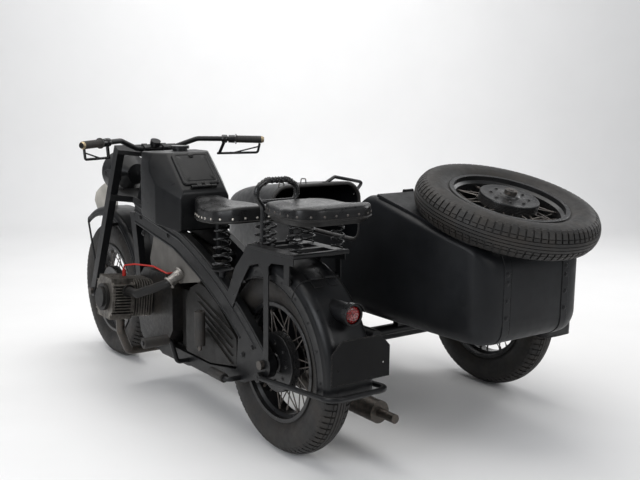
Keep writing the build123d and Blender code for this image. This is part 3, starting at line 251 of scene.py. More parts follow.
def red_lens(name):
    """Moulded red glass with a diamond pattern."""
    n = Nodes(name)
    cells = n.add("ShaderNodeTexVoronoi", Vector=n.place, Scale=190.0).outputs["Distance"]
    n.bump(cells, 0.8, 0.0015)
    depth = n.ranged(cells, 0.1, 0.7)
    tone = n.mix(depth, (0.36, 0.004, 0.004), (0.06, 0.001, 0.001))
    return n.finish(tone, 0.22, 0.0, **{"Transmission Weight": 0.1, "Coat Weight": 0.15})


PAINT = painted("black_paint", (0.0062, 0.0064, 0.0070), 0.33, wear=0.25, dust=0.025, peel=0.05, edge=0.0025)
BODY_PAINT = painted(
    "sidecar_paint", (0.0066, 0.0072, 0.0084), 0.40, wear=0.25, dust=0.03, peel=0.05, edge=0.002
)
GLOSS_PAINT = painted("gloss_black", (0.008, 0.008, 0.0085), 0.20, wear=0.2, dust=0.02, peel=0.04, sheen=0.5)
WHEEL_PAINT = painted("wheel_paint", (0.008, 0.008, 0.0085), 0.30, wear=0.5, dust=0.05, sheen=0.45)
PLATE_PAINT = painted("plate_paint", (0.0035, 0.0035, 0.0038), 0.42, wear=0.6, dust=0.05, sheen=0.15)
SOOTY = painted("sooty_black", (0.0095, 0.009, 0.0085), 0.42, wear=0.5, dust=0.10)
ALLOY = cast("cast_alloy", (0.20, 0.185, 0.165), 0.42)
CASE = cast("case_alloy", (0.016, 0.015, 0.0145), 0.42, metallic=0.2, grime=0.4)
STEEL = steel("steel", (0.42, 0.40, 0.38), 0.32)
DARK_STEEL = steel("dark_steel", (0.10, 0.094, 0.088), 0.4, rust=0.5)
SPOKE_STEEL = steel("spoke_steel", (0.15, 0.138, 0.128), 0.38, rust=0.5)
PIPE_STEEL = steel("pipe_steel", (0.085, 0.078, 0.070), 0.42, rust=0.45)
TYRE = rubber("tyre_rubber", (0.0085, 0.0082, 0.008), 0.62, dust=0.24, brown=(0.060, 0.044, 0.030))
RUBBER = rubber("moulded_rubber", (0.015, 0.0148, 0.0145), 0.6, dust=0.2)
LEAD_RED = rubber("red_lead", (0.42, 0.018, 0.012), 0.4, dust=0.1, brown=(0.25, 0.02, 0.015))
SADDLE = hide("saddle_hide", (0.0055, 0.0054, 0.0055), 0.30, grain=0.04, coat=0.0)
TRIM = hide("trim_hide", (0.022, 0.0205, 0.0195), 0.45, grain=0.4, coat=0.08)
AIR_GREY = painted("air_cover_grey", (0.125, 0.118, 0.108), 0.55, wear=0.4, dust=0.08)
ELBOW_ALLOY = cast("elbow_alloy", (0.36, 0.34, 0.315), 0.42, metallic=0.6, grime=0.35)
SPRING_BLACK = painted(
    "spring_black", (0.007, 0.007, 0.0072), 0.24, wear=0.6, dust=0.04, peel=0.03, sheen=0.5
)
RIVET_STEEL = steel("rivet_steel", (0.62, 0.58, 0.52), 0.28, rust=0.1)
BRASS = steel("old_brass", (0.42, 0.34, 0.22), 0.36, rust=0.3)
GLASS = clear_glass("lamp_glass")
RED = red_lens("red_lens")
MATERIALS = {  # the record's slot, its material
    "black_paint": PAINT, "body_paint": BODY_PAINT, "wheel_paint": WHEEL_PAINT, "tyre": TYRE,
    "cast_alloy": ALLOY, "case_alloy": CASE, "steel": STEEL, "dark_steel": DARK_STEEL,
    "rubber": RUBBER, "lead_red": LEAD_RED, "saddle_skin": SADDLE, "seat_trim": TRIM,
    "lens_clear": GLASS, "lens_red": RED, "plate_black": PLATE_PAINT,
}
NODE_SLOTS = {row["node"]: row["material_slot"] for row in frame["record"]["subparts"]}
OWN_LOOKS = {  # nodes whose look differs from their slot's
    "air_cleaner": AIR_GREY, "intake_pipes": SOOTY, "exhaust": PIPE_STEEL, "filler_cap": GLOSS_PAINT,
    "spare_carrier": DARK_STEEL, "rocker_covers": SOOTY, "saddle_springs": SPRING_BLACK, "gearbox": SOOTY,
    "rear_axle": DARK_STEEL, "front_axle": DARK_STEEL, "pillion_springs": SPRING_BLACK,
}
for node_name, node in frame["nodes"].items():
    node.data.materials.clear()
    node.data.materials.append(OWN_LOOKS.get(node_name, MATERIALS[NODE_SLOTS[node_name]]))

# ---------------------------------------------------------------- mesh helpers
SHARP = math.radians(36)


def frame_along(direction):
    """Two directions square to one and to each other."""
    direction = direction.normalized()
    other = Z_AXIS if abs(direction.z) < 0.9 else Y_AXIS
    side = other.cross(direction).normalized()
    return side, direction.cross(side)


def softened(points, bend, closed=False, steps=6):
    """A path whose corners are rounded with the given radius."""
    points = [Vector(p) for p in points]
    count = len(points)
    path = []
    for k, corner in enumerate(points):
        if not closed and k in (0, count - 1):
            path.append(corner)
            continue
        before, after = points[k - 1], points[(k + 1) % count]
        back, ahead = (before - corner), (after - corner)
        angle = back.angle(ahead)
        if angle > math.radians(178):
            path.append(corner)
            continue
        reach = bend / math.tan(angle / 2)
        reach = min(reach, back.length * 0.49, ahead.length * 0.49)
        start, end = corner + back.normalized() * reach, corner + ahead.normalized() * reach
        for step in range(steps + 1):
            t = step / steps
            path.append(start * (1 - t) ** 2 + corner * (2 * t * (1 - t)) + end * t**2)
    return path


class Shape:
    """Vertices and faces gathered for one piece."""

    def __init__(self):
        self.verts, self.faces = [], []

    def rings(self, rings, closed_ring=True, closed_path=False, caps=True):
        """Skins a list of rings that all have the same number of points."""
        start, size = len(self.verts), len(rings[0])
        for ring in rings:
            self.verts.extend(Vector(p) for p in ring)
        count = len(rings)
        for k in range(count if closed_path else count - 1):
            a, b = start + k * size, start + ((k + 1) % count) * size
            for j in range(size if closed_ring else size - 1):
                n = (j + 1) % size
                self.faces.append((a + j, a + n, b + n, b + j))
        if caps and closed_ring and not closed_path:
            self.faces.append(tuple(start + j for j in reversed(range(size))))
            last = start + (count - 1) * size
            self.faces.append(tuple(last + j for j in range(size)))

    def lathe(self, profile, centre, axis, segments=48, closed=False):
        """A turned form: (along, radius) pairs about an axis; a radius of 0 closes an end."""
        centre, axis = Vector(centre), Vector(axis).normalized()
        side, up = frame_along(axis)
        rings = []
        for j in range(segments):
            angle = 2 * math.pi * j / segments
            out = side * math.cos(angle) + up * math.sin(angle)
            rings.append([centre + axis * a + out * max(r, 0.00005) for a, r in profile])
        self.rings(rings, closed_ring=closed, closed_path=True)

    def tube(self, points, radius, sides=12, bend=0.0, closed=False, caps=True):
        """A round tube along a path, with rounded corners."""
        path = softened(points, bend, closed) if bend > 0 else [Vector(p) for p in points]
        count = len(path)
        rings, side = [], None
        for k, p in enumerate(path):
            before = path[k - 1] if (k > 0 or closed) else p
            after = path[(k + 1) % count] if (k < count - 1 or closed) else p
            along = (after - before).normalized()
            if side is None:
                side = frame_along(along)[0]
            side = (side - along * side.dot(along)).normalized()
            up = along.cross(side)
            thick = radius(k / max(1, count - 1)) if callable(radius) else radius
            rings.append([
                p + (side * math.cos(a) + up * math.sin(a)) * thick
                for a in [2 * math.pi * j / sides for j in range(sides)]
            ])
        self.rings(rings, closed_path=closed, caps=caps)

    def block(self, centre, size, turn=None):
        """A box by its centre and size, turned by a matrix if one is given."""
        centre, half = Vector(centre), Vector(size) / 2
        turn = turn or Matrix.Identity(3)
        ends = [
            [centre + turn @ Vector((half.x * x, half.y * y, half.z * z))
             for x, y in ((-1, -1), (1, -1), (1, 1), (-1, 1))]
            for z in (-1, 1)
        ]
        self.rings(ends)

    def plate(self, outline, origin, across, up, thick):
        """A flat plate from its outline in two directions, thick along their cross product."""
        origin, across, up = Vector(origin), Vector(across), Vector(up)
        out = across.cross(up).normalized() * thick
        near = [origin + across * a + up * b for a, b in outline]
        self.rings([near, [p + out for p in near]])

    def bolt(self, foot, axis, radius=0.006, height=0.005, washer=True):
        """A hexagon head on its washer."""
        foot, axis = Vector(foot), Vector(axis).normalized()
        if washer:
            self.lathe([(0, 0), (0, radius * 1.5), (0.0012, radius * 1.5), (0.0012, 0)], foot, axis, 16)
        self.lathe([(0, 0), (0, radius), (height * 0.85, radius), (height, radius * 0.8), (height, 0)],
                   foot, axis, 6)

    def dome(self, foot, axis, radius, height, segments=14):
        """A rivet or round head."""
        profile = [(0, radius)] + [
            (height * math.sin(a), radius * math.cos(a)) for a in (0.4, 0.8, 1.2)
        ] + [(height, 0)]
        self.lathe(profile, foot, axis, segments)

    def piece(self, name, body, material, *replaced, slot="black_paint", smooth=True, bevel=0.0, sharp=SHARP):
        """Makes the Blender object, hangs it on the empty of the body it rides on, and hides the parts it stands
        for.
        """
        mesh = bpy.data.meshes.new(name)
        mesh.from_pydata([tuple(v) for v in self.verts], [], self.faces)
        mesh.validate()
        made = bpy.data.objects.new(name, mesh)
        bpy.context.scene.collection.objects.link(made)
        mesh.materials.append(material)
        mesh.polygons.foreach_set("use_smooth", [smooth] * len(mesh.polygons))
        if smooth:
            mesh.set_sharp_from_angle(angle=sharp)
        if bevel > 0:
            modifier = made.modifiers.new("edge", "BEVEL")
            modifier.width, modifier.segments, modifier.limit_method = bevel, 2, "ANGLE"
            modifier.angle_limit = math.radians(40)
        if replaced:
            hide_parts(*replaced)
        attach(made, body)
        return made


# ---------------------------------------------------------------- tyres
TYRE_R, BEAD_R, TYRE_HALF = 0.325, 0.200, 0.059
SHOULDER_X, SHOULDER_DROP = 0.047, 0.017
CROWN_R = (SHOULDER_X**2 + SHOULDER_DROP**2) / (2 * SHOULDER_DROP)
GROOVE = 0.0055  # depth of the tread
PITCHES = 78
TREAD_ROWS = (  # from, to across the half tread; which of the four cells along a pitch are cut
    (0.0000, 0.0045, "1111"), (0.0045, 0.0070, "0000"), (0.0070, 0.0165, "1111"),
    (0.0165, 0.0190, "0000"), (0.0190, 0.0285, "1110"), (0.0285, 0.0310, "0000"),
    (0.0310, 0.0470, "1110"),
)
WHEELS = (  # name, hub centre, axle, body
    ("front", FRONT_HUB, X_AXIS, "front_roller"),
    ("rear", REAR_HUB, X_AXIS, "rear_roller"),
    ("sidecar", SIDE_HUB, X_AXIS, "sidecar_roller"),
)
SPARE_TILT = math.radians(17.3)
SPARE_UP = Vector((0, -math.sin(SPARE_TILT), math.cos(SPARE_TILT)))
SPARE_LOW, SPARE_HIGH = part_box("spare_tyre")
SPARE_HUB = (Vector(SPARE_LOW) + Vector(SPARE_HIGH)) / 2
WHEELS += (("spare", SPARE_HUB, -SPARE_UP, "boot_cover"),)


def crown(x):
    """The tread's radius at a distance across."""
    return TYRE_R - CROWN_R + math.sqrt(CROWN_R**2 - x**2)


def wall_profile():
    """One side wall from shoulder to bead, as (across, radius), with two moulded ribs."""
    start, bulge, end = (SHOULDER_X, crown(SHOULDER_X)), (TYRE_HALF, 0.262), (0.040, 0.214)
    profile = []
    for k in range(1, 17):
        t = k / 16
        a = start[0] * (1 - t) * (1 - 2 * t) + 4 * bulge[0] * t * (1 - t) + end[0] * t * (2 * t - 1)
        r = start[1] * (1 - t) * (1 - 2 * t) + 4 * bulge[1] * t * (1 - t) + end[1] * t * (2 * t - 1)
        rib = 0.0012 if k in (3, 11, 13) else 0.0
        profile.append((min(a + rib, TYRE_HALF), r))
    return profile + [(0.0405, BEAD_R + 0.0095), (0.0385, BEAD_R + 0.002), (0.030, BEAD_R)]


def tread_mesh(hub, axle):
    """The tread as raised cells over a sunk band, and both side walls."""
    shape = Shape()
    side, up = frame_along(Vector(axle))
    axle = Vector(axle).normalized()
    cells = 4
    steps = PITCHES * cells

    def point(x, radius, turn):
        return Vector(hub) + axle * x + (side * math.cos(turn) + up * math.sin(turn)) * radius

    columns = []  # across place, row index
    for sign in (-1, 1):
        for row, (low, high, pattern) in enumerate(TREAD_ROWS):
            columns.append((sign * low, sign * high, pattern))
    for x_a, x_b, pattern in columns:
        for step in range(steps):
            cell = pattern[(step + (2 if x_a < 0 or x_b < 0 else 0)) % cells]
            t_a, t_b = 2 * math.pi * step / steps, 2 * math.pi * (step + 1) / steps
            drop = 0.0 if cell == "1" else GROOVE
            r_a, r_b = crown(x_a) - drop, crown(x_b) - drop
            quad = [point(x_a, r_a, t_a), point(x_b, r_b, t_a), point(x_b, r_b, t_b), point(x_a, r_a, t_b)]
            start = len(shape.verts)
            shape.verts.extend(quad)
            shape.faces.append((start, start + 1, start + 2, start + 3))
            if cell != "1":
                continue
            floor = [point(x_a, crown(x_a) - GROOVE, t_a), point(x_b, crown(x_b) - GROOVE, t_a),
                     point(x_b, crown(x_b) - GROOVE, t_b), point(x_a, crown(x_a) - GROOVE, t_b)]
            base = len(shape.verts)
            shape.verts.extend(floor)
            sides = ((0, 1), (2, 3), (1, 2), (3, 0))
            previous = pattern[(step - 1 + (2 if x_a < 0 or x_b < 0 else 0)) % cells]
            following = pattern[(step + 1 + (2 if x_a < 0 or x_b < 0 else 0)) % cells]
            for number, (a, b) in enumerate(sides):
                if (number == 0 and previous == "1") or (number == 1 and following == "1"):
                    continue
                shape.faces.append((start + a, base + a, base + b, start + b))
    wall = wall_profile()
    for sign in (-1, 1):
        rings = []
        for j in range(144):
            turn = 2 * math.pi * j / 144
            rings.append([point(sign * SHOULDER_X, crown(SHOULDER_X) - GROOVE, turn)] +
                         [point(sign * a, r, turn) for a, r in wall])
        shape.rings(rings, closed_ring=False, closed_path=True)
    rings = [[point(x, BEAD_R, 2 * math.pi * j / 144) for x in (-0.030, 0.030)] for j in range(144)]
    shape.rings(rings, closed_ring=False, closed_path=True)
    return shape


def shoulder_lugs(shape, hub, axle):
    """Blocks that run over the shoulder onto the side wall."""
    side, up = frame_along(Vector(axle))
    axle = Vector(axle).normalized()
    for sign in (-1, 1):
        for k in range(PITCHES):
            turn = 2 * math.pi * (k + 0.36 + (0.5 if sign < 0 else 0)) / PITCHES
            half = 0.36 * 2 * math.pi / PITCHES
            rings = []
            for a, r, lift in ((0.0468, 0.3078, 0.0), (0.0535, 0.2965, 0.0012), (0.0566, 0.286, 0.0)):
                ring = []
                for t, extra in ((turn - half, 0.0), (turn - half * 0.9, lift), (turn + half * 0.9, lift),
                                 (turn + half, 0.0)):
                    out = side * math.cos(t) + up * math.sin(t)
                    ring.append(Vector(hub) + axle * sign * (a + extra) + out * (r + extra))
                rings.append(ring)
            shape.rings(rings, closed_ring=False, caps=False)


def tyre(name, hub, axle, body):
    shape = tread_mesh(hub, axle)
    shoulder_lugs(shape, hub, axle)
    shape.piece(f"{name}_tyre_treaded", body, TYRE, f"{name}_tyre", slot="tyre", sharp=math.radians(28))


# ---------------------------------------------------------------- rims, spokes and hubs
SPOKES = 20
DRUM_R, DRUM_X, HUB_END = 0.105, 0.050, 0.058
FLANGE_R = 0.062
RIM_SECTION = (  # across, height over the bead seat: outer side, then the well, then the inside
    (-0.046, 0.010), (-0.0445, 0.0115), (-0.043, 0.010), (-0.0415, 0.0), (-0.026, 0.0), (-0.019, -0.010),
    (0.019, -0.010), (0.026, 0.0), (0.0415, 0.0), (0.043, 0.010), (0.0445, 0.0115), (0.046, 0.010),
    (0.0455, -0.003), (0.029, -0.004), (0.021, -0.015), (-0.021, -0.015), (-0.029, -0.004), (-0.0455, -0.003),
)
SPOKE_ROWS = (  # flange place, flange radius, place in the rim, lean in degrees
    (-0.020, DRUM_R - 0.002, -0.008, 9),
    (0.037, 0.058, 0.008, 16),
)


def wheel(name, hub, axle, body):
    """Rim, spokes with nipples, ribbed brake drum and flanged hub."""
    hub, axle = Vector(hub), Vector(axle).normalized()
    side, up = frame_along(axle)

    def point(x, radius, degrees):
        a = math.radians(degrees)
        return hub + axle * x + (side * math.cos(a) + up * math.sin(a)) * radius

    rim = Shape()
    rim.lathe([(x, BEAD_R + r) for x, r in RIM_SECTION], hub, axle, 120, closed=True)
    drum = [(-HUB_END, 0.0102), (-HUB_END, 0.030), (-0.0555, 0.034), (-DRUM_X - 0.001, 0.036),
            (-DRUM_X, 0.040), (-DRUM_X + 0.001, 0.088), (-DRUM_X, 0.094), (-DRUM_X, DRUM_R - 0.002)]
    for fin in range(6):
        x = -DRUM_X + 0.003 + fin * 0.0052
        drum += [(x, DRUM_R), (x + 0.0024, DRUM_R), (x + 0.0028, DRUM_R - 0.004), (x + 0.005, DRUM_R - 0.004)]
    drum += [(-0.016, DRUM_R), (-0.014, DRUM_R - 0.004), (-0.010, 0.040), (0.010, 0.0335), (0.031, 0.034),
             (0.034, 0.040), (0.0345, FLANGE_R), (0.036, FLANGE_R + 0.001), (0.039, FLANGE_R),
             (0.040, 0.038), (0.043, 0.030), (0.053, 0.026), (HUB_END, 0.022), (HUB_END, 0.0102)]
    rim.lathe(drum, hub, axle, 72)
    rim.lathe([(-HUB_END, 0.0102), (HUB_END, 0.0102)], hub, axle, 24)
    for k in range(8):
        rim.bolt(point(-DRUM_X + 0.0005, 0.066, 45 * k), -axle, 0.005, 0.004)
    for k in range(6):
        rim.bolt(point(0.0395, 0.048, 60 * k), axle, 0.004, 0.003)
    rim.piece(f"{name}_rim_and_hub", body, WHEEL_PAINT, f"{name}_wheel", slot="wheel_paint")

    spokes = Shape()
    for flange_x, flange_r, rim_x, lean in SPOKE_ROWS:
        for k in range(SPOKES):
            angle = 360 / SPOKES * k
            foot = point(flange_x, flange_r, angle)
            head = point(rim_x, BEAD_R - 0.013, angle + (lean if k % 2 else -lean))
            spokes.tube([foot, head], 0.0022, 8)
            run = (head - foot).normalized()
            spokes.lathe([(-0.017, 0.0022), (-0.016, 0.0036), (-0.003, 0.0040), (0.0, 0.0040), (0.0, 0)],
                         head, run, 8)
    spokes.piece(f"{name}_spokes", body, SPOKE_STEEL, slot="wheel_paint")


for wheel_row in WHEELS:
    tyre(*wheel_row)
    wheel(*wheel_row)

# ---------------------------------------------------------------- mudguards
def around(hub, x, radius, degrees):
    """A point round a wheel, by its angle above forward."""
    a = math.radians(degrees)
    return Vector(hub) + Vector((x, math.cos(a) * radius, math.sin(a) * radius))


def guard_section(half, outer, inner, corner, ridge):
    """The outer skin from the left edge over the crown to the right edge, as (across, radius)."""
    right = [(half, inner), (half, inner + 0.012), (half, outer - corner - 0.014)]
    right += [(half + ridge, outer - corner - 0.008), (half + ridge, outer - corner - 0.004),
              (half - 0.001, outer - corner)]
    for k in range(1, 8):
        a = math.radians(90 * k / 8)
        right.append((half - corner + corner * math.cos(a), outer - corner + corner * math.sin(a) * 0.96))
    right += [(half - corner, outer - 0.0022), ((half - corner) / 2, outer - 0.0006), (0, outer)]
    return [(-x, r) for x, r in right[:-1]] + right[::-1]


def mudguard(shape, hub, start, end, half, outer, inner, corner, ridge=0.0016, sheet=0.0018):
    """A deep pressed mudguard with wired edges."""
    outside = guard_section(half - ridge, outer, inner, corner, ridge)
    inside = [(x - math.copysign(sheet, x) if abs(x) > corner else x, r - (sheet if r > inner + 0.02 else 0))
              for x, r in outside]
    section = outside + inside[::-1]
    steps = max(24, int((end - start) / 2))
    rings = []
    for k in range(steps + 1):
        angle = start + (end - start) * k / steps
        rings.append([around(hub, x, r, angle) for x, r in section])
    shape.rings(rings)
    for sign in (-1, 1):
        edge = [around(hub, sign * (half - 0.003), inner + 0.001, start + (end - start) * k / steps)
                for k in range(steps + 1)]
        shape.tube(edge, 0.003, 8)
    for angle in (start + 0.3, end - 0.3):
        lip = [around(hub, x * 0.985, r - 0.001, angle) for x, r in outside]
        shape.tube(lip, 0.003, 8)


def rear_mudguard():
    shape = Shape()
    mudguard(shape, REAR_HUB, 65, 185, 0.092, 0.379, 0.300, 0.036)
    for sign in (-1, 1):
        for angle in (80, 108, 124, 141, 158, 176):
            shape.dome(around(REAR_HUB, sign * 0.0905, 0.318, angle), (sign, 0, 0), 0.0055, 0.003)
    seam = [around(REAR_HUB, x, r + 0.001, 121) for x, r in guard_section(0.0905, 0.379, 0.300, 0.036, 0.001)]
    shape.tube(seam, 0.0022, 8)
    for sign in (-1, 1):
        hinge = [around(REAR_HUB, x, 0.3825, 121) for x in (sign * 0.012, sign * 0.046)]
        shape.tube(hinge, 0.0048, 12)
        foot = around(REAR_HUB, sign * 0.029, 0.3785, 118)
        turn = Matrix.Rotation(math.radians(118 - 90), 3, "X")
        shape.block(foot, (0.034, 0.030, 0.0025), turn)
        shape.block(around(REAR_HUB, sign * 0.029, 0.3785, 124), (0.034, 0.030, 0.0025),
                    Matrix.Rotation(math.radians(124 - 90), 3, "X"))
    shape.piece("rear_mudguard", "chassis", PAINT, "rear_fender")


def front_mudguard():
    shape = Shape()
    mudguard(shape, FRONT_HUB, 56, 190, 0.078, 0.394, 0.352, 0.026)
    for sign in (-1, 1):
        shape.tube([at(sign * 0.0765, 1.256, 0.656), at(sign * 0.113, 1.256, 0.656)], 0.008, 14)
        shape.bolt(at(sign * 0.104, 1.256, 0.656), (sign, 0, 0), 0.008, 0.006)
        shape.lathe([(0.101, 0.0102), (0.101, 0.022), (0.1128, 0.022), (0.1128, 0.0102)],
                    FRONT_HUB, (sign, 0, 0), 28)
        for low, high in (((1.417, 0.339), (1.601, 0.630)), ((1.394, 0.323), (1.052, 0.275))):
            shape.tube([at(sign * 0.107, *low), at(sign * 0.0795, *high)], 0.005, 12)
            shape.bolt(at(sign * 0.0778, *high), (sign, 0, 0), 0.006, 0.004)
    shape.piece("front_mudguard", "steering", PAINT, "front_fender")


def front_number_plate():
    """A curved blank plate standing along the mudguard's crown, with a rolled border."""
    shape = Shape()
    steps = 24
    half, low, high = 0.0012, 0.3945, 0.513  # the sheet's half thickness, its edges from the hub
    rings, border = [], []
    for k in range(steps + 1):
        angle = 53 + 35 * k / steps
        cut = 0.020 * max(0.0, 1 - min(k, steps - k) / 3)
        section = ((-half, low), (half, low), (half, high - cut), (-half, high - cut))
        rings.append([around(FRONT_HUB, x, r, angle) for x, r in section])
        border.append(around(FRONT_HUB, 0, high - 0.002 - cut, angle))
    shape.rings(rings)
    shape.tube([around(FRONT_HUB, 0, 0.396, 53.3)] + border + [around(FRONT_HUB, 0, 0.396, 87.7)], 0.0019, 8)
    shape.piece("front_number_plate", "steering", FRONT_PLATE, "front_plate", slot="plate_black")


def side_mudguard():
    shape = Shape()
    mudguard(shape, SIDE_HUB, 12, 186, 0.088, 0.372, 0.300, 0.034)
    for angle in (40, 75, 110, 150, 178):
        for sign in (-1, 1):
            shape.dome(around(SIDE_HUB, sign * 0.0865, 0.316, angle), (sign, 0, 0), 0.0055, 0.003)
    shape.piece("sidecar_mudguard", "chassis", PAINT, "sidecar_fender")


# ---------------------------------------------------------------- sidecar body
BODY_X = 0.708
SHELL = 0.008
BODY_TABLE = (  # Y, half width, low, high, lower corner radius, upper corner radius
    (-0.478, 0.173, 0.465, 0.655, 0.040, 0.040), (-0.474, 0.199, 0.441, 0.689, 0.050, 0.045),
    (-0.462, 0.224, 0.421, 0.712, 0.060, 0.045), (-0.440, 0.246, 0.404, 0.731, 0.070, 0.035),
    (-0.421, 0.257, 0.398, 0.7407, 0.075, 0.025), (-0.388, 0.266, 0.395, 0.751, 0.080, 0.020),
    (-0.252, 0.297, 0.403, 0.7934, 0.080, 0.020), (0.010, 0.315, 0.407, 0.875, 0.080, 0.025),
    (0.250, 0.312, 0.407, 0.866, 0.080, 0.040), (0.500, 0.298, 0.407, 0.856, 0.080, 0.075),
    (0.700, 0.272, 0.407, 0.846, 0.080, 0.090), (0.900, 0.236, 0.407, 0.833, 0.080, 0.090),
    (1.050, 0.204, 0.415, 0.818, 0.080, 0.085), (1.200, 0.168, 0.435, 0.796, 0.075, 0.080),
    (1.320, 0.134, 0.460, 0.770, 0.065, 0.070), (1.400, 0.104, 0.488, 0.746, 0.055, 0.060),
    (1.450, 0.078, 0.520, 0.718, 0.045, 0.050), (1.474, 0.050, 0.555, 0.682, 0.028, 0.030),
)
STRAIGHT_COLUMN = 3  # the upper edge is straight from row to row, because the lid lies on it


def body_row(y):
    """The body's measures at any Y: smooth curves through the table, but a straight upper edge."""
    rows = BODY_TABLE
    k = next((i for i in range(len(rows) - 1) if rows[i][0] <= y <= rows[i + 1][0]), None)
    if k is None:
        return rows[0] if y < rows[0][0] else rows[-1]
    a, b = rows[k], rows[k + 1]
    before, after = rows[max(k - 1, 0)], rows[min(k + 2, len(rows) - 1)]
    width = b[0] - a[0]
    t = (y - a[0]) / width
    values = [y]
    for c in range(1, 6):
        if c == STRAIGHT_COLUMN and y < 0.9:
            values.append(a[c] + (b[c] - a[c]) * t)
            continue
        slope = (b[c] - a[c]) / width
        near = (a[c] - before[c]) / (a[0] - before[0]) if k > 0 else slope
        far = (after[c] - b[c]) / (after[0] - b[0]) if k + 2 < len(rows) else slope
        m0 = 0.0 if near * slope <= 0 else 2 * near * slope / (near + slope)
        m1 = 0.0 if far * slope <= 0 else 2 * far * slope / (far + slope)
        h = (2 * t**3 - 3 * t**2 + 1) * a[c] + (t**3 - 2 * t**2 + t) * width * m0
        values.append(h + (3 * t**2 - 2 * t**3) * b[c] + (t**3 - t**2) * width * m1)
    return values


def body_ring(row, inset=0.0, corner_steps=8):
    """One cross-section as a ring of points, from the lower left corner round."""
    y, half, low, high, low_r, high_r = row
    half, low, high = half - inset, low + inset, high - inset
    low_r, high_r = max(low_r - inset, 0.004), max(high_r - inset, 0.004)
    ring = []
    corners = ((half - low_r, low + low_r, low_r, -90), (half - high_r, high - high_r, high_r, 0),
               (-half + high_r, high - high_r, high_r, 90), (-half + low_r, low + low_r, low_r, 180))
    for cx, cz, radius, begin in corners:
        for k in range(corner_steps + 1):
            a = math.radians(begin + 90 * k / corner_steps)
            ring.append(at(BODY_X + cx + radius * math.cos(a), y, cz + radius * math.sin(a)))
    return ring


def stations(start, end, step=0.025):
    """Places along the body between two ends, close together where it curves."""
    places = {start, end}
    places |= {row[0] for row in BODY_TABLE if start < row[0] < end}
    count = int((end - start) / step)
    places |= {start + (end - start) * k / count for k in range(1, count)}
    places |= {y for y in (-0.4765, -0.468, -0.451, -0.43, 1.43, 1.463, 1.47) if start < y < end}
    return sorted(places)


def plain_object(name, shape):
    """A closed mesh with its faces turned outwards, ready for cutting."""
    mesh = bpy.data.meshes.new(name)
    mesh.from_pydata([tuple(v) for v in shape.verts], [], shape.faces)
    work = bmesh.new()
    work.from_mesh(mesh)
    bmesh.ops.recalc_face_normals(work, faces=work.faces)
    work.to_mesh(mesh)
    work.free()
    made = bpy.data.objects.new(name, mesh)
    bpy.context.scene.collection.objects.link(made)
    return made


def cut_away(target, cutters):
    """Subtracts closed meshes from a piece for good."""
    for cutter in cutters:
        modifier = target.modifiers.new("cut", "BOOLEAN")
        modifier.operation, modifier.solver, modifier.object = "DIFFERENCE", "EXACT", cutter
    evaluated = target.evaluated_get(bpy.context.evaluated_depsgraph_get())
    mesh = bpy.data.meshes.new_from_object(evaluated)
    target.modifiers.clear()
    old = target.data
    target.data = mesh
    bpy.data.meshes.remove(old)
    for cutter in cutters:
        bpy.data.objects.remove(cutter)


DECK_FRONT = Vector((BODY_X, 0.010, 0.875))
DECK_ALONG = Vector((0, math.cos(SPARE_TILT), math.sin(SPARE_TILT)))


def deck_at(x, along, out):
    """A place on the boot deck: across from the middle, along it and out of it."""
    return at(*DECK_FRONT) + Vector((x, 0, 0)) + DECK_ALONG * along + SPARE_UP * out


def rounded_outline(half_low, low, half_high, high, radius, steps=10):
    """A four-cornered outline with round corners, counter-clockwise."""
    corners = [(-half_low, low), (half_low, low), (half_high, high), (-half_high, high)]
    path = softened([Vector((x, y, 0)) for x, y in corners], radius, closed=True, steps=steps)
    return [(p.x, p.y) for p in path]


SILL_Z = 0.690
NOTCH_REAR, NOTCH_FRONT = 0.097, 0.800
NOTCH_BEND = 0.060
OPEN_TOP = 0.960
BOOT_NOSE = ((0.040, OPEN_TOP), (0.040, 0.884), (0.098, 0.835), (0.098, OPEN_TOP))


def notch_path(inset, top=OPEN_TOP):
    """The cockpit's opening seen from the side, as (Y, Z), from its rear edge to its front one."""
    rear, front, sill = NOTCH_REAR + inset, NOTCH_FRONT - inset, SILL_Z + inset
    rows = ((rear, top), (rear, sill), (front, sill), (front, top))
    corners = [Vector((y, z, 0)) for y, z in rows]
    return [(p.x, p.y) for p in softened(corners, NOTCH_BEND - inset, steps=10)]


def wall_half(y, z):
    """The body's half-width at a place along it and a height."""
    half, low, high, low_r, high_r = body_row(y)[1:]
    above, below = z - (high - high_r), low + low_r - z
    if above > 0:
        return half - high_r + math.sqrt(max(high_r**2 - above**2, 0))
    if below > 0:
        return half - low_r + math.sqrt(max(low_r**2 - below**2, 0))
    return half


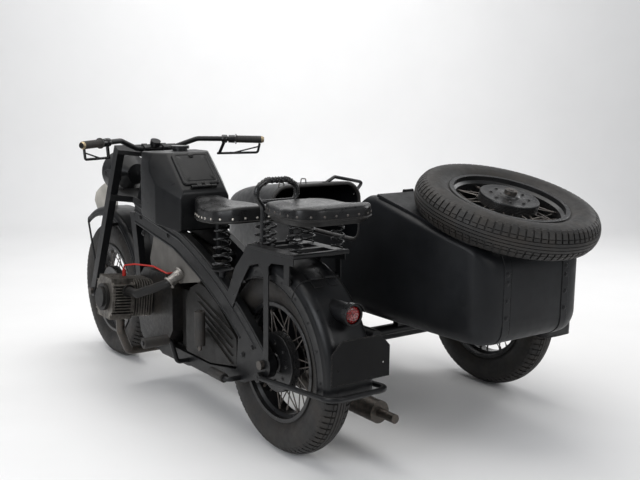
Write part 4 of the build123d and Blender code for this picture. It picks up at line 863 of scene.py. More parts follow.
def sidecar_shell():
    outer = Shape()
    outer.rings([body_ring(body_row(y)) for y in stations(-0.478, 1.474)])
    body = plain_object("sidecar_shell", outer)
    cutters = []
    for start, end in ((-0.470, 0.002), (0.012, 1.440)):
        inner = Shape()
        inner.rings([body_ring(body_row(y), SHELL) for y in stations(start, end, 0.05)])
        cutters.append(plain_object("hollow", inner))
    mouth = Shape()
    boot_mouth = rounded_outline(0.225, -0.385, 0.245, -0.045, 0.030)
    mouth.rings([[deck_at(x, v, out) for x, v in boot_mouth] for out in (-0.030, 0.030)])
    cutters.append(plain_object("mouth", mouth))
    for outline in (notch_path(0), BOOT_NOSE):
        opening = Shape()
        opening.rings([[at(BODY_X + x, y, z) for y, z in outline] for x in (-0.4, 0.4)])
        cutters.append(plain_object("opening", opening))
    cut_away(body, cutters)
    mesh = body.data
    mesh.materials.clear()
    mesh.materials.append(BODY_PAINT)
    mesh.polygons.foreach_set("use_smooth", [True] * len(mesh.polygons))
    mesh.set_sharp_from_angle(angle=SHARP)
    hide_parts("sidecar_body")
    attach(body, "chassis")

    fittings = Shape()
    for sign in (-1, 1):
        for near, far in ((0.128, 0.136), (0.164, 0.172)):
            fittings.tube([deck_at(sign * near, 0.008, 0.008), deck_at(sign * far, 0.008, 0.008)], 0.007, 18)
            fittings.block(deck_at(sign * (near + far) / 2, 0.008, 0.001), (0.008, 0.012, 0.014),
                           Matrix.Rotation(SPARE_TILT, 3, "X"))
        fittings.tube([deck_at(sign * 0.128, 0.008, 0.008), deck_at(sign * 0.172, 0.008, 0.008)], 0.003, 12)
    for y in (0.040, 0.270):
        fittings.tube([at(1.0215, y, 0.640), at(1.082, y, 0.640)], 0.011, 16)
        collar = [(0, 0.011), (0, 0.026), (0.004, 0.026), (0.006, 0.011)]
        fittings.lathe(collar, at(1.0265, y, 0.640), X_AXIS, 24)
    fittings.piece("body_fittings", "chassis", PAINT)


def profile_at(offset):
    """The body's outline in a plane along it, from the deck round the tail to the underside."""
    top, bottom = [], []
    for y in stations(-0.4775, -0.30, 0.012):
        ring = body_ring(body_row(y))
        near = [p for p in ring if p.x >= at(BODY_X, 0, 0).x]
        reach = max(p.x for p in near) - at(BODY_X, 0, 0).x
        if reach < offset:
            continue
        row = body_row(y)
        half, low_r, high_r = row[1], row[4], row[5]
        dip = max(0.0, offset - (half - low_r))
        rise = low_r - math.sqrt(max(low_r**2 - dip**2, 0)) if dip > 0 else 0.0
        drop_in = max(0.0, offset - (half - high_r))
        drop = high_r - math.sqrt(max(high_r**2 - drop_in**2, 0)) if drop_in > 0 else 0.0
        top.append((y, row[3] - drop))
        bottom.append((y, row[2] + rise))
    return top[::-1] + bottom


def tail_straps():
    """The tail's two riveted seams: a raised strip over each, a thin black strip beside it as the painted shadow
    of the joint's gap, and bolts.
    """
    strips, shadow_strips = Shape(), Shape()
    for sign in (-1, 1):
        # the second row is a black strip 0.6 mm thick, painted shadow standing in for the gap beside each seam
        for low, high, thick, target in ((0.131, 0.163, 0.0022, strips), (0.1265, 0.1300, 0.0006, shadow_strips)):
            edge_low, edge_high = profile_at(low), profile_at(high)
            count = min(len(edge_low), len(edge_high))
            middle = profile_at((low + high) / 2)[:count]
            rings = []
            for k in range(count):
                before, after = middle[max(k - 1, 0)], middle[min(k + 1, count - 1)]
                along = Vector((0, after[0] - before[0], after[1] - before[1])).normalized()
                out = Vector((0, along.z, -along.y))
                near = Vector((0, middle[k][0], middle[k][1])) + out * -0.001
                far = near + out * (thick + 0.001)
                rings.append([at(BODY_X + sign * x, p.y, p.z)
                              for x, p in ((low, near), (high, near), (high, far), (low, far))])
            target.rings(rings)
        for z in (0.500, 0.560, 0.620, 0.650):
            strips.bolt(at(BODY_X + sign * 0.147, -0.4795, z), (0, -1, 0), 0.0062, 0.004)
        for along in (-0.30, -0.36, -0.42):
            strips.bolt(deck_at(sign * 0.147, along - 0.02, 0.002), SPARE_UP, 0.005, 0.003)
    strips.piece("tail_seam_strips", "chassis", BODY_PAINT, slot="body_paint", bevel=0.0008)
    shadow_strips.piece("tail_seam_gap_shadow", "chassis", SHADOW, slot="body_paint")


def cockpit_coaming():
    """A padded roll on the opening's edge: along both sills, up the cowl and over its arch."""
    inset, roll, top = 0.0065, 0.0085, 0.835
    side = [(y, z) for y, z in notch_path(inset, top) if z < 0.742 or y < 0.5]
    path = [Vector((wall_half(y, z) - roll, y, z)) for y, z in side]
    arch_y = NOTCH_FRONT - inset
    half, _, high, _, high_r = body_row(arch_y)[1:]
    arch = [Vector((half - high_r + (high_r - roll) * math.cos(a), arch_y,
                    high - high_r + (high_r - roll) * math.sin(a)))
            for a in [math.radians(9 * k) for k in range(11)]]
    right = path + arch
    left = [Vector((-p.x, p.y, p.z)) for p in reversed(right)]
    line = [at(BODY_X + p.x, p.y, p.z) for p in right + left]
    shape, piping = Shape(), Shape()
    shape.tube(line, roll, 14)
    made = shape.piece("cockpit_coaming", "chassis", TRIM, "cockpit_rim", slot="seat_trim")
    sewn = [at(BODY_X + p.x - math.copysign(0.006, p.x), p.y, p.z - 0.005) for p in right + left]
    piping.tube(sewn, 0.0022, 8)
    piping.piece("coaming_piping", "chassis", RUBBER, slot="rubber")


GRAB_RAIL = ((0.765, 0.822, 0.828), (0.823, 0.812, 0.862), (0.990, 0.812, 0.828), (0.938, 0.817, 0.770))


def grab_rail():
    """The bent handle on the cowl's edge, with two wire loops for the cover beside it."""
    shape = Shape()
    shape.tube([at(*corner) for corner in GRAB_RAIL], 0.008, 16, 0.012)
    shape.bolt(at(0.768, 0.822, 0.8385), Z_AXIS, 0.008, 0.004)
    shape.piece("cockpit_grab_rail", "chassis", GLOSS_PAINT, "sidecar_grab_rail")
    loops = Shape()
    for x, high in ((0.640, 0.864), (0.520, 0.852)):
        foot = high - 0.034
        rows = ((-0.016, foot), (-0.011, high), (0.013, high - 0.002), (0.017, foot))
        loops.tube([at(x + across, 0.806, z) for across, z in rows], 0.0026, 10, 0.006)
    loops.piece("cover_loops", "chassis", DARK_STEEL, slot="dark_steel")


# ---------------------------------------------------------------- tank, saddles and hoop
TANK_SIDE = (
    (0.575, 0.713), (0.587, 0.7098), (0.880, 0.7618), (0.893, 0.830), (0.900, 0.985), (0.880, 1.010),
    (0.715, 1.010), (0.578, 0.874), (0.572, 0.860),
)
TANK_HALF = 0.155
TANK_PLAN = (  # half width, Y
    (0.104, 0.560), (0.126, 0.620), (TANK_HALF, 0.700), (TANK_HALF, 0.830), (0.118, 0.885), (0.070, 0.925),
)
TANK_FRONT = ((TANK_HALF, 0.940), (0.146, 0.975), (0.128, 1.010))  # across, Z
SLOPE_FOOT = Vector((0, 0.578, 0.874))
SLOPE_ANGLE = math.atan2(1.010 - 0.874, 0.715 - 0.578)
SLOPE_ALONG = Vector((0, math.cos(SLOPE_ANGLE), math.sin(SLOPE_ANGLE)))
SLOPE_OUT = Vector((0, -math.sin(SLOPE_ANGLE), math.cos(SLOPE_ANGLE)))
SLOPE_SECTION = ((0.093, 0.0), (TANK_HALF, -0.075))  # across, out of the sloped face
HINGE_V, HINGE_N = 0.008, 0.007  # the lid's hinge: up the slope, out of it
KNOB_V = 0.166


def slope_at(x, along, out):
    """A place on the tank's sloped face: across, up it and out of it."""
    return at(*SLOPE_FOOT) + Vector((x, 0, 0)) + SLOPE_ALONG * along + SLOPE_OUT * out


def tank_cuts():
    """Planes, as (place, outward direction), that trim the tank's sides on the right."""
    cuts = []
    for (x_a, y_a), (x_b, y_b) in zip(TANK_PLAN, TANK_PLAN[1:]):
        cuts.append((at(x_a, y_a, 0), Vector((y_b - y_a, x_a - x_b, 0))))
    for (x_a, z_a), (x_b, z_b) in zip(TANK_FRONT, TANK_FRONT[1:]):
        cuts.append((at(x_a, 0, z_a), Vector((z_b - z_a, 0, x_a - x_b))))
    (x_a, out_a), (x_b, out_b) = SLOPE_SECTION
    cuts.append((slope_at(x_a, 0, out_a), X_AXIS * (out_a - out_b) + SLOPE_OUT * (x_b - x_a)))
    return cuts


def fuel_tank():
    """The tank's pressed shell with rounded edges, and the tray under its lid."""
    shape = Shape()
    shape.rings([[at(x, y, z) for y, z in TANK_SIDE] for x in (-TANK_HALF, TANK_HALF)])
    shell = plain_object("tank_shell", shape)
    work = bmesh.new()
    work.from_mesh(shell.data)
    for place, out in tank_cuts():
        for sign in (1, -1):
            near = Vector((ORIGIN.x + sign * (place.x - ORIGIN.x), place.y, place.z))
            bmesh.ops.bisect_plane(
                work, geom=work.verts[:] + work.edges[:] + work.faces[:], plane_co=near,
                plane_no=Vector((sign * out.x, out.y, out.z)).normalized(), clear_outer=True,
            )
            bmesh.ops.holes_fill(work, edges=[e for e in work.edges if e.is_boundary])
    bmesh.ops.dissolve_limit(work, angle_limit=math.radians(1), verts=work.verts[:], edges=work.edges[:])
    bmesh.ops.bevel(work, geom=work.edges[:], offset=0.022, segments=6, profile=0.5, affect="EDGES",
                    clamp_overlap=True)
    bmesh.ops.recalc_face_normals(work, faces=work.faces)
    work.to_mesh(shell.data)
    work.free()
    tray = Shape()
    tray.rings([[slope_at(x, v, out) for x, v in rounded_outline(0.058, 0.034, 0.058, 0.150, 0.014)]
                for out in (-0.048, 0.01)])
    cut_away(shell, [plain_object("tray", tray)])
    mesh = shell.data
    mesh.materials.clear()
    mesh.materials.append(PAINT)
    mesh.polygons.foreach_set("use_smooth", [True] * len(mesh.polygons))
    mesh.set_sharp_from_angle(angle=math.radians(30))
    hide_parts("fuel_tank")
    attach(shell, "chassis")

    trim = Shape()
    for sign in (-1, 1):
        near, far = slope_at(sign * 0.031, HINGE_V, HINGE_N), slope_at(sign * 0.056, HINGE_V, HINGE_N)
        trim.tube([near, far], 0.0065, 18)
        trim.plate([(0.031, 0.002), (0.056, 0.002), (0.056, 0.016), (0.031, 0.016)],
                   slope_at(0, 0, -0.001), X_AXIS * sign, SLOPE_ALONG, 0.0022 * sign)
    trim.tube([slope_at(-0.056, HINGE_V, HINGE_N), slope_at(0.056, HINGE_V, HINGE_N)], 0.003, 12)
    trim.tube([slope_at(x, v, 0.0012) for x, v in rounded_outline(0.061, 0.031, 0.061, 0.153, 0.016)],
              0.0016, 8, closed=True)
    trim.piece("tank_trim", "chassis", PAINT)


def tank_cover():
    """The tool tray's lid: a pressed panel with a raised field, a lip and a turn-button."""
    lid = Shape()
    layers = ((0.0000, 0.0004), (0.0000, 0.0050), (0.0030, 0.0080), (0.0100, 0.0086), (0.0120, 0.0068),
              (0.0165, 0.0068), (0.0200, 0.0092), (0.0400, 0.0094))
    rings = []
    for inset, out in layers:
        half, low, high = 0.082 - inset, 0.020 + inset, 0.184 - inset
        outline = rounded_outline(half, low, half, high, 0.018 - inset * 0.3)
        rings.append([slope_at(x, v, out) for x, v in outline])
    lid.rings(rings)
    lid.tube([slope_at(-0.030, HINGE_V, HINGE_N), slope_at(0.030, HINGE_V, HINGE_N)], 0.006, 18)
    for x in (-0.018, 0.018):
        lid.plate([(-0.010, 0.008), (0.010, 0.008), (0.010, 0.030), (-0.010, 0.030)],
                  slope_at(x, 0, 0.0072), X_AXIS, SLOPE_ALONG, 0.0022)
    button = [(0, 0), (0, 0.013), (0.0012, 0.013), (0.0020, 0.0095), (0.0045, 0.009), (0.0055, 0.007)]
    button.append((0.0055, 0))
    lid.lathe(button, slope_at(0, KNOB_V, 0.0078), SLOPE_OUT, 28)
    lid.plate([(-0.0085, -0.0022), (0.0085, -0.0022), (0.0085, 0.0022), (-0.0085, 0.0022)],
              slope_at(0, KNOB_V, 0.0128), X_AXIS, SLOPE_ALONG, 0.0024)
    lid.piece("tank_cover", "tool_cover", PAINT, "tank_lid", sharp=math.radians(30))


def between(table, place):
    """A value read off (place, value) rows in falling or rising order."""
    rows = sorted(table)
    if place <= rows[0][0]:
        return rows[0][1]
    for (a, low), (b, high) in zip(rows, rows[1:]):
        if place <= b:
            t = (place - a) / (b - a)
            t = t * t * (3 - 2 * t)
            return low + (high - low) * t
    return rows[-1][1]


def plan_loop(plan, count=96):
    """An even closed loop through a saddle's plan, from its right half, as (X, Y)."""
    corners = [Vector((x, y, 0)) for x, y in plan] + [Vector((-x, y, 0)) for x, y in reversed(plan)]
    path = softened(corners, 0.055, closed=True, steps=8)
    lengths = [0.0]
    for a, b in zip(path, path[1:] + path[:1]):
        lengths.append(lengths[-1] + (b - a).length)
    loop, k = [], 0
    for step in range(count):
        reach = lengths[-1] * step / count
        while lengths[k + 1] < reach:
            k += 1
        a, b = path[k], path[(k + 1) % len(path)]
        t = (reach - lengths[k]) / max(lengths[k + 1] - lengths[k], 1e-9)
        loop.append(a + (b - a) * t)
    return loop


def saddle_skin(name, plan, tops, low, pan_low, spine, node, rivets, skirt=0.014, crown=0.005, tilt=0.0):
    """A sprung saddle: a stretched hide with a rolled edge, its riveted band and its pan."""
    loop = plan_loop(plan)

    def rim_at(y):
        """The rim's height, which may slope down to the front."""
        return low - tilt * (y - RIM_LEVEL_Y)

    layers = [(0.004, 0.0, 0.0), (0.0, 0.012, 0.0), (0.0008, 0.5, 0.0)]
    layers += [(skirt * (1 - math.cos(a)), 1.0, -skirt * (1 - math.sin(a)))
               for a in [math.radians(15 * k) for k in range(1, 7)]]
    layers += [(skirt + reach, 1.0, crown * (1 - math.exp(-reach / 0.02)))
               for reach in (0.006, 0.014, 0.026, 0.042, 0.062)]
    skin, rings = Shape(), []
    for inset, share, lift in layers:
        ring = []
        for p in loop:
            middle = Vector((0, min(max(p.y, spine[0]), spine[1]), 0))
            away = p - middle
            keep = max(0.06, 1 - inset / max(away.length, 0.001))
            q = middle + away * keep
            top = between(tops, q.y)
            rim = rim_at(q.y)
            z = rim + (top - skirt - rim) * share + (skirt + lift if share == 1.0 else 0.0)
            ring.append(at(q.x, q.y, z))
        rings.append(ring)
    skin.rings(rings)
    made = skin.piece(name, "chassis", SADDLE, node, slot="saddle_skin", sharp=math.radians(60))
    band, pan = Shape(), Shape()
    edge = [at(p.x * 0.995, p.y, rim_at(p.y) + 0.001) for p in loop]
    pan.tube(edge, 0.0042, 10, closed=True)
    for k in range(0, len(loop), 4):
        p, ahead = loop[k], loop[(k + 1) % len(loop)]
        run = (ahead - p).normalized()
        out = Vector((run.y, -run.x, 0))
        out = out if out.dot(p - Vector((0, min(max(p.y, spine[0]), spine[1]), 0))) > 0 else -out
        band.dome(at(p.x, p.y, rim_at(p.y) + RIVET_UP) - out * 0.001, out, 0.0046, 0.0028, 10)
    band.piece(f"{name}_band", "chassis", rivets, slot="steel")
    pan.rings([[at(p.x * k, spine_mid(spine, p.y, k), z - tilt * (p.y - RIM_LEVEL_Y)) for p in loop]
               for k, z in ((0.985, low + 0.003), (0.95, low - 0.002), (0.90, pan_low), (0.5, pan_low))])
    pan.piece(f"{name}_pan", "chassis", SOOTY)


def spine_mid(spine, y, keep):
    """A place along a saddle, drawn towards the middle of its spine."""
    middle = (spine[0] + spine[1]) / 2
    return middle + (y - middle) * keep


RIM_LEVEL_Y = 0.30  # where a sloping rim has its named height
RIVET_UP = 0.013
RIDER_LOW, RIDER_PAN = 0.787, 0.784
RIDER_PLAN = ((0.054, 0.568), (0.078, 0.500), (0.118, 0.420), (0.150, 0.310), (0.156, 0.230), (0.110, 0.159))
RIDER_TOPS = ((0.159, 0.852), (0.215, 0.842), (0.280, 0.832), (0.360, 0.828), (0.470, 0.832), (0.568, 0.850))
PILLION_LOW, PILLION_PAN = 0.857, 0.8385
PILLION_PLAN = (
    (0.050, 0.029), (0.096, -0.010), (0.132, -0.090), (0.150, -0.190), (0.150, -0.268), (0.092, -0.311),
)
PILLION_TOPS = (
    (-0.311, 0.896), (-0.270, 0.899), (-0.220, 0.891), (-0.150, 0.887), (-0.060, 0.892), (0.029, 0.884),
)


def bolster(outline, half, pleats, puff):
    """A cushion as rings across the seat: pleats bulge between their seams, the ends are drawn in."""
    centre = sum((Vector((0, y, z)) for y, z in outline), Vector()) / len(outline)
    path = softened([Vector((0, y, z)) for y, z in outline], 0.028, closed=True, steps=6)
    shape, steps = Shape(), pleats * 8
    rings = []
    for k in range(steps + 1):
        across = -half + 2 * half * k / steps
        near_end = min(k, steps - k) / steps * 2 * half
        drawn = 0.022 * max(0.0, 1 - near_end / 0.03) ** 2
        lift = puff * abs(math.sin(math.pi * k / 8)) ** 0.6 - puff - drawn
        ring = []
        for p in path:
            away = p - centre
            ring.append(at(BODY_X + across, 0, 0) + centre + away * (1 + lift / away.length))
        rings.append(ring)
    shape.rings(rings)
    return shape


def sidecar_cushions():
    """The passenger's seat: a pleated squab and a pleated cushion on a plain base."""
    floor = 0.4153
    back = bolster(((0.110, 0.585), (0.060, 0.600), (0.042, 0.790), (0.080, 0.838), (0.150, 0.828),
                    (0.226, 0.592)), 0.214, 7, 0.008)
    cushion = bolster(((0.062, 0.500), (0.066, 0.586), (0.225, 0.584), (0.528, 0.608), (0.538, 0.560),
                       (0.518, 0.490)), 0.214, 7, 0.008)
    for name, shape, replaced in (("seat_back", back, ("sidecar_seat",)), ("seat_cushion", cushion, ())):
        made = shape.piece(name, "chassis", TRIM, *replaced, slot="seat_trim", sharp=math.radians(70))
    base = Shape()
    outline = [(0.112, floor), (0.500, floor), (0.515, 0.495), (0.070, 0.505)]
    base.plate([(y, z) for y, z in outline], at(BODY_X - 0.208, 0, 0), Y_AXIS, Z_AXIS, 0.416)
    for x in (-0.18, -0.06, 0.06, 0.18):
        base.tube([at(BODY_X + x, 0.503, 0.424), at(BODY_X + x, 0.514, 0.485)], 0.006, 12)
    base.piece("seat_base", "chassis", SOOTY, bevel=0.004)


def arc_through(a, b, c, steps):
    """Points on the arc from a through b to c, in (Y, Z)."""
    (ax, ay), (bx, by), (cx, cy) = a, b, c
    d = 2 * (ax * (by - cy) + bx * (cy - ay) + cx * (ay - by))
    a2, b2, c2 = ax * ax + ay * ay, bx * bx + by * by, cx * cx + cy * cy
    ux = (a2 * (by - cy) + b2 * (cy - ay) + c2 * (ay - by)) / d
    uy = (a2 * (cx - bx) + b2 * (ax - cx) + c2 * (bx - ax)) / d
    start, end = math.atan2(ay - uy, ax - ux), math.atan2(cy - uy, cx - ux)
    middle = math.atan2(by - uy, bx - ux)
    radius = math.hypot(ax - ux, ay - uy)
    span = (end - start) % (2 * math.pi)
    if (middle - start) % (2 * math.pi) > span:
        span -= 2 * math.pi
    turns = [start + span * k / steps for k in range(steps + 1)]
    return [(ux + radius * math.cos(turn), uy + radius * math.sin(turn)) for turn in turns]


BEAM_UPPER = [(1.010, 0.784)] + arc_through((0.587, 0.709), (0.215, 0.543), (-0.030, 0.365), 24)
BEAM_LOWER = [(1.010, 0.692)] + arc_through((0.662, 0.632), (0.422, 0.541), (0.158, 0.389), 24)


def beam_folds():
    """The pressed frame's folds: three raised ridges along each side, and bolts at its joints."""
    shape = Shape()
    for sign in (-1, 1):
        for share in (0.07, 0.38, 0.93):
            line = [at(sign * 0.1015, y0 + (y1 - y0) * share, z0 + (z1 - z0) * share)
                    for (y0, z0), (y1, z1) in zip(BEAM_UPPER, BEAM_LOWER)]
            shape.tube([p - X_AXIS * sign * 0.0035 for p in line], 0.0075, 12)
        for y, z in ((0.955, 0.725), (0.930, 0.660), (0.700, 0.680), (0.062, 0.372), (0.125, 0.330)):
            shape.bolt(at(sign * 0.102, y, z), (sign, 0, 0), 0.008, 0.006)
    shape.piece("frame_folds", "chassis", PAINT)


BAR_BEND = Vector((0.265, 0.890, 1.050))
BAR_SWEEP = Vector((0.1545, -0.097, -0.004)).normalized()
BAR_HALF, GRIP_R, GRIP_LONG, BAR_R = 0.428, 0.016, 0.125, 0.011
GRIP_END_X = BAR_HALF - GRIP_R * math.sqrt(1 - BAR_SWEEP.x**2)
BAR_END = BAR_BEND + BAR_SWEEP * ((GRIP_END_X - BAR_BEND.x) / BAR_SWEEP.x)
CAP_LONG = 0.012
GRIP_VALLEY = 0.0148  # between the grip's ribs
LEVER_TIP = Vector((0.255, 0.911, 0.986))


def bar_at(side, point):
    """A place on one side of the bars, from its right-hand twin."""
    return at(side * point.x, point.y, point.z)


def intake_elbows():
    """The cast elbow and its flanges where each pipe meets the air cleaner."""
    shape = Shape()
    for sign in (-1, 1):
        path = [at(sign * x, 0.598, z) for x, z in ((0.150, 0.510), (0.118, 0.532), (0.101, 0.5445))]
        shape.tube(path, 0.0215, 24, 0.012)
        for place in (path[0], path[2]):
            way = (path[2] - path[0]).normalized()
            shape.lathe([(0, 0), (0, 0.0265), (0.006, 0.0265), (0.006, 0)], place - way * 0.003, way, 28)
        shape.bolt(at(sign * 0.128, 0.575, 0.545), (sign * 0.5, -0.4, 0.7), 0.006, 0.005)
    shape.piece("intake_elbows", "chassis", ELBOW_ALLOY, slot="cast_alloy")


def hand_controls():
    """Ribbed grips with flanges and brass ends, and reversed levers on their posts."""
    grip, caps, lever = Shape(), Shape(), Shape()
    for side in (-1, 1):
        end = bar_at(side, BAR_END)
        out = (end - bar_at(side, BAR_BEND)).normalized()
        start = end - out * GRIP_LONG
        ribs = [(0.0, BAR_R), (0.0, 0.0215), (0.0045, 0.0215), (0.0055, 0.0165)]
        for k in range(15):
            near = 0.008 + k * 0.0068
            ribs += [(near, GRIP_VALLEY), (near + 0.0012, GRIP_R), (near + 0.0050, GRIP_R)]
            ribs += [(near + 0.0062, GRIP_VALLEY)]
        ribs += [(GRIP_LONG - CAP_LONG, 0.0155), (GRIP_LONG - CAP_LONG, BAR_R)]
        grip.lathe(ribs, start, out, 32)
        caps.lathe([(0, 0), (0, 0.0150), (0.004, 0.0152), (0.007, 0.0125), (0.0115, 0.0115),
                    (CAP_LONG, 0.009), (CAP_LONG, 0)], end - out * CAP_LONG, out, 28)
        lever.lathe([(-0.030, BAR_R), (-0.030, 0.0165), (-0.006, 0.0175), (-0.002, 0.0165), (-0.002, BAR_R)],
                    start, out, 28)
        arm = [Vector((0.404, 0.804, 1.030)), Vector((0.398, 0.811, 0.990)), LEVER_TIP]
        lever.tube([bar_at(side, p) for p in arm], 0.0055, 12, 0.012)
        perch = BAR_BEND + BAR_SWEEP * 0.010
        post_foot = bar_at(side, Vector((0.260, 0.907, 0.986)))
        lever.tube([post_foot, bar_at(side, perch - Z_AXIS * 0.010)], 0.0070, 12)
        lever.lathe([(-0.012, 0), (-0.012, 0.0155), (-0.009, 0.0175), (0.009, 0.0175), (0.012, 0.0155),
                     (0.012, 0)], bar_at(side, perch), out, 28)
        lever.tube([bar_at(side, Vector((0.315, 0.869, 0.990))), bar_at(side, Vector((0.400, 0.806, 1.016)))],
                   0.0032, 10)
        lever.dome(bar_at(side, LEVER_TIP), (-side, 0.6, 0), 0.0055, 0.005)
    grip.piece("ribbed_grips", "steering", RUBBER, "grips", slot="rubber")
    caps.piece("bar_end_caps", "steering", BRASS, slot="steel")
    lever.piece("hand_levers", "steering", GLOSS_PAINT, "levers")


LAMP_Z, LAMP_Y = 0.564, -0.352


def tail_light():
    """The rear lamp's hood and its domed red glass."""
    hood, glass = Shape(), Shape()
    rings = []
    for k in range(17):
        a = math.radians(10 + 160 * k / 16)
        ring = []
        for radius, y in ((0.0366, -0.350), (0.0384, -0.350), (0.0398, -0.3735), (0.0378, -0.3735)):
            ring.append(at(radius * math.cos(a), y, LAMP_Z + radius * math.sin(a)))
        rings.append(ring)
    hood.rings(rings)
    for sign in (-1, 1):
        hood.dome(at(sign * 0.0325, -0.366, LAMP_Z), (0, -1, 0), 0.0030, 0.0022, 10)
    hood.piece("tail_lamp_hood", "chassis", GLOSS_PAINT)
    glass.lathe([(0, 0.029), (0.006, 0.029), (0.010, 0.0262), (0.0135, 0.018), (0.0155, 0.008), (0.016, 0)],
                at(0, LAMP_Y, LAMP_Z), (0, -1, 0), 40)
    glass.piece("tail_lamp_glass", "chassis", RED, "tail_lens", slot="lens_red")


def plate_border():
    """The rear plate's rolled border; its two bolt holes stay open."""
    half = ((0.1135, 0.364), (0.1135, 0.4615), (0.077, 0.4995))
    outline = [at(x, -0.4055, z) for x, z in half] + [at(-x, -0.4055, z) for x, z in reversed(half)]
    shape = Shape()
    shape.tube(outline, 0.0022, 8, 0.010, closed=True)
    shape.piece("plate_border", "chassis", PLATE_PAINT, slot="plate_black")


def grab_hoop():
    """The passenger's wrapped hoop between the saddles, on two plain legs."""
    shape, wrap = Shape(), Shape()
    half = ((0.058, 0.735), (0.058, 0.862), (0.084, 0.895), (0.080, 0.930), (0.042, 0.951))
    points = [at(-x, 0.064, z) for x, z in half] + [at(x, 0.064, z) for x, z in reversed(half)]
    shape.tube(points, 0.0098, 16, 0.030)
    shape.tube([at(-0.066, 0.064, 0.878), at(0.066, 0.064, 0.878)], 0.0078, 14)
    for sign in (-1, 1):
        shape.lathe([(0, 0.010), (0, 0.019), (0.004, 0.019), (0.006, 0.013), (0.016, 0.0125), (0.016, 0.010)],
                    at(sign * 0.058, 0.064, 0.735), Z_AXIS, 24)
    shape.piece("grab_hoop_tube", "chassis", GLOSS_PAINT, "grab_hoop")
    path = softened(points, 0.030, steps=12)
    turns, line, length = 34, [], 0.0
    upper = [p for p in path if p.z > 0.872]
    dense = []
    for a, b in zip(upper, upper[1:]):
        count = max(1, int((b - a).length / 0.0016))
        dense += [a + (b - a) * (j / count) for j in range(count)]
    total = sum((b - a).length for a, b in zip(dense, dense[1:]))
    for a, b in zip(dense, dense[1:]):
        run = (b - a).normalized()
        side, up = Y_AXIS, run.cross(Y_AXIS).normalized()
        turn = 2 * math.pi * turns * length / total
        line.append(a + (side * math.cos(turn) + up * math.sin(turn)) * 0.0095)
        length += (b - a).length
    wrap.tube(line, 0.0031, 6)
    wrap.piece("hoop_wrapping", "chassis", RUBBER, slot="rubber")


SHADOW = painted("joint_shadow", (0.002, 0.002, 0.002), 0.8, wear=0, dust=0)
FRONT_PLATE = painted("front_plate_paint", (0.42, 0.40, 0.36), 0.42, wear=0.5, dust=0.2)
rear_mudguard()
front_mudguard()
front_number_plate()
side_mudguard()
sidecar_shell()
tail_straps()
cockpit_coaming()
grab_rail()
fuel_tank()
tank_cover()
saddle_skin("rider_saddle", RIDER_PLAN, RIDER_TOPS, RIDER_LOW, RIDER_PAN, (0.235, 0.50),
            "rider_seat", RIVET_STEEL, tilt=0.07)
saddle_skin("pillion_saddle", PILLION_PLAN, PILLION_TOPS, PILLION_LOW, PILLION_PAN, (-0.225, -0.02),
            "pillion_seat", DARK_STEEL, crown=0.003)
sidecar_cushions()
grab_hoop()
beam_folds()
hand_controls()
intake_elbows()
tail_light()
plate_border()
# ---------------------------------------------------------------- floor, light and camera
def stage_material(name, colour):
    """Plain and pale, and white to the camera and to mirrors only by its own colour."""
    n = Nodes(name)
    n.bump(n.noise(60, 5), 0.05, 0.001)
    tone = n.mix(n.noise(2.2, 4), shade(colour, 0.97), shade(colour, 1.03))
    return n.finish(tone, 0.75)


def floor_and_wall():
    """One sheet: the floor, a wide curve and the wall behind."""
    half, near, far, radius, high = 9.0, -7.0, 5.2, 0.9, 6.0
    line = [(near, 0.0)] + [
        (far - radius + radius * math.sin(a), radius - radius * math.cos(a))
        for a in [math.radians(9 * k) for k in range(11)]
    ] + [(far, high)]
    turn = Matrix.Rotation(math.radians(-VIEW_YAW), 3, "Z")
    verts, faces = [], []
    for y, z in line:
        for x in (-half, half):
            verts.append(turn @ Vector((x, y, z)))
    for k in range(len(line) - 1):
        faces.append((2 * k, 2 * k + 1, 2 * k + 3, 2 * k + 2))
    mesh = bpy.data.meshes.new("floor")
    mesh.from_pydata([tuple(v) for v in verts], [], faces)
    mesh.polygons.foreach_set("use_smooth", [True] * len(faces))
    floor = bpy.data.objects.new("floor", mesh)
    bpy.context.scene.collection.objects.link(floor)
    mesh.materials.append(stage_material("floor_pale", (0.86, 0.855, 0.85)))


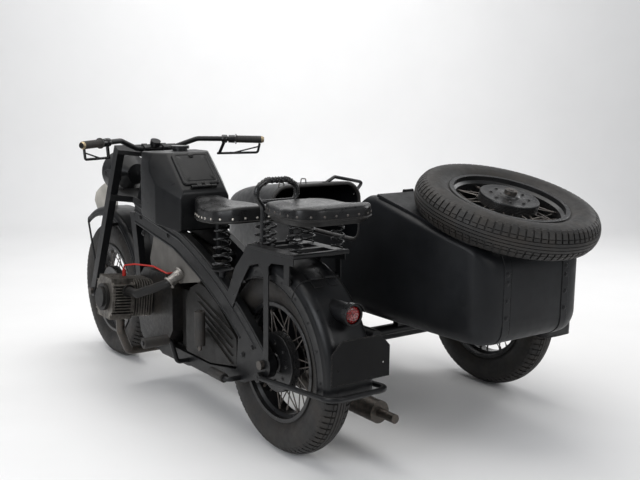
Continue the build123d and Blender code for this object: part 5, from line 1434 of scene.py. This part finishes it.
def lamp(name, place, target, size, power, colour=(1, 1, 1)):
    """A soft rectangular lamp."""
    light = bpy.data.lights.new(name, "AREA")
    light.shape, light.size, light.size_y = "RECTANGLE", size[0], size[1]
    light.energy, light.color = power, colour
    lamp_object = bpy.data.objects.new(name, light)
    bpy.context.scene.collection.objects.link(lamp_object)
    lamp_object.location = place
    lamp_object.rotation_euler = (Vector(target) - Vector(place)).to_track_quat("-Z", "Y").to_euler()


VIEW_YAW, VIEW_PITCH = 32.7, -9.4
VIEW_PLACE = at(-1.686, -2.454, 1.243)
VIEW_FOCUS_PX = 883.5
IMAGE_WIDTH = 640
VIEW_CENTRE_PX = 260  # the column that the lens looks straight at
SENSOR = 36.0


def camera():
    lens = bpy.data.cameras.new("camera")
    lens.sensor_width = SENSOR
    lens.lens = SENSOR * VIEW_FOCUS_PX / IMAGE_WIDTH
    lens.shift_x = (IMAGE_WIDTH / 2 - VIEW_CENTRE_PX) / IMAGE_WIDTH
    lens.clip_end = 60
    view = bpy.data.objects.new("camera", lens)
    bpy.context.scene.collection.objects.link(view)
    view.location = VIEW_PLACE
    view.rotation_euler = (math.radians(90 + VIEW_PITCH), 0, math.radians(-VIEW_YAW))
    bpy.context.scene.camera = view


def sky():
    """A pale room all round."""
    world = bpy.data.worlds.new("room")
    bpy.context.scene.world = world
    world.use_nodes = True
    world.node_tree.nodes["Background"].inputs[0].default_value = (0.80, 0.83, 0.88, 1)
    world.node_tree.nodes["Background"].inputs[1].default_value = 0.32


camera()
floor_and_wall()
sky()
lamp("overhead", (-0.6, 0.2, 3.6), (0, 0, 0.4), (3.2, 4.2), 95, (1.0, 0.985, 0.96))
lamp("left_window", (-4.2, -1.2, 2.2), (0, 0, 0.5), (2.6, 2.0), 70, (0.93, 0.96, 1.0))
lamp("behind_camera", (0.6, -4.4, 2.6), (0, 0, 0.5), (2.6, 1.6), 45)
lamp("right_fill", (4.0, -0.6, 2.4), (0, 0, 0.5), (2.0, 2.0), 35)
lamp("wall_wash", (1.2, 1.9, 4.4), (2.6, 4.6, 1.2), (4.0, 1.2), 110)
bpy.context.scene.view_settings.view_transform = "Standard"
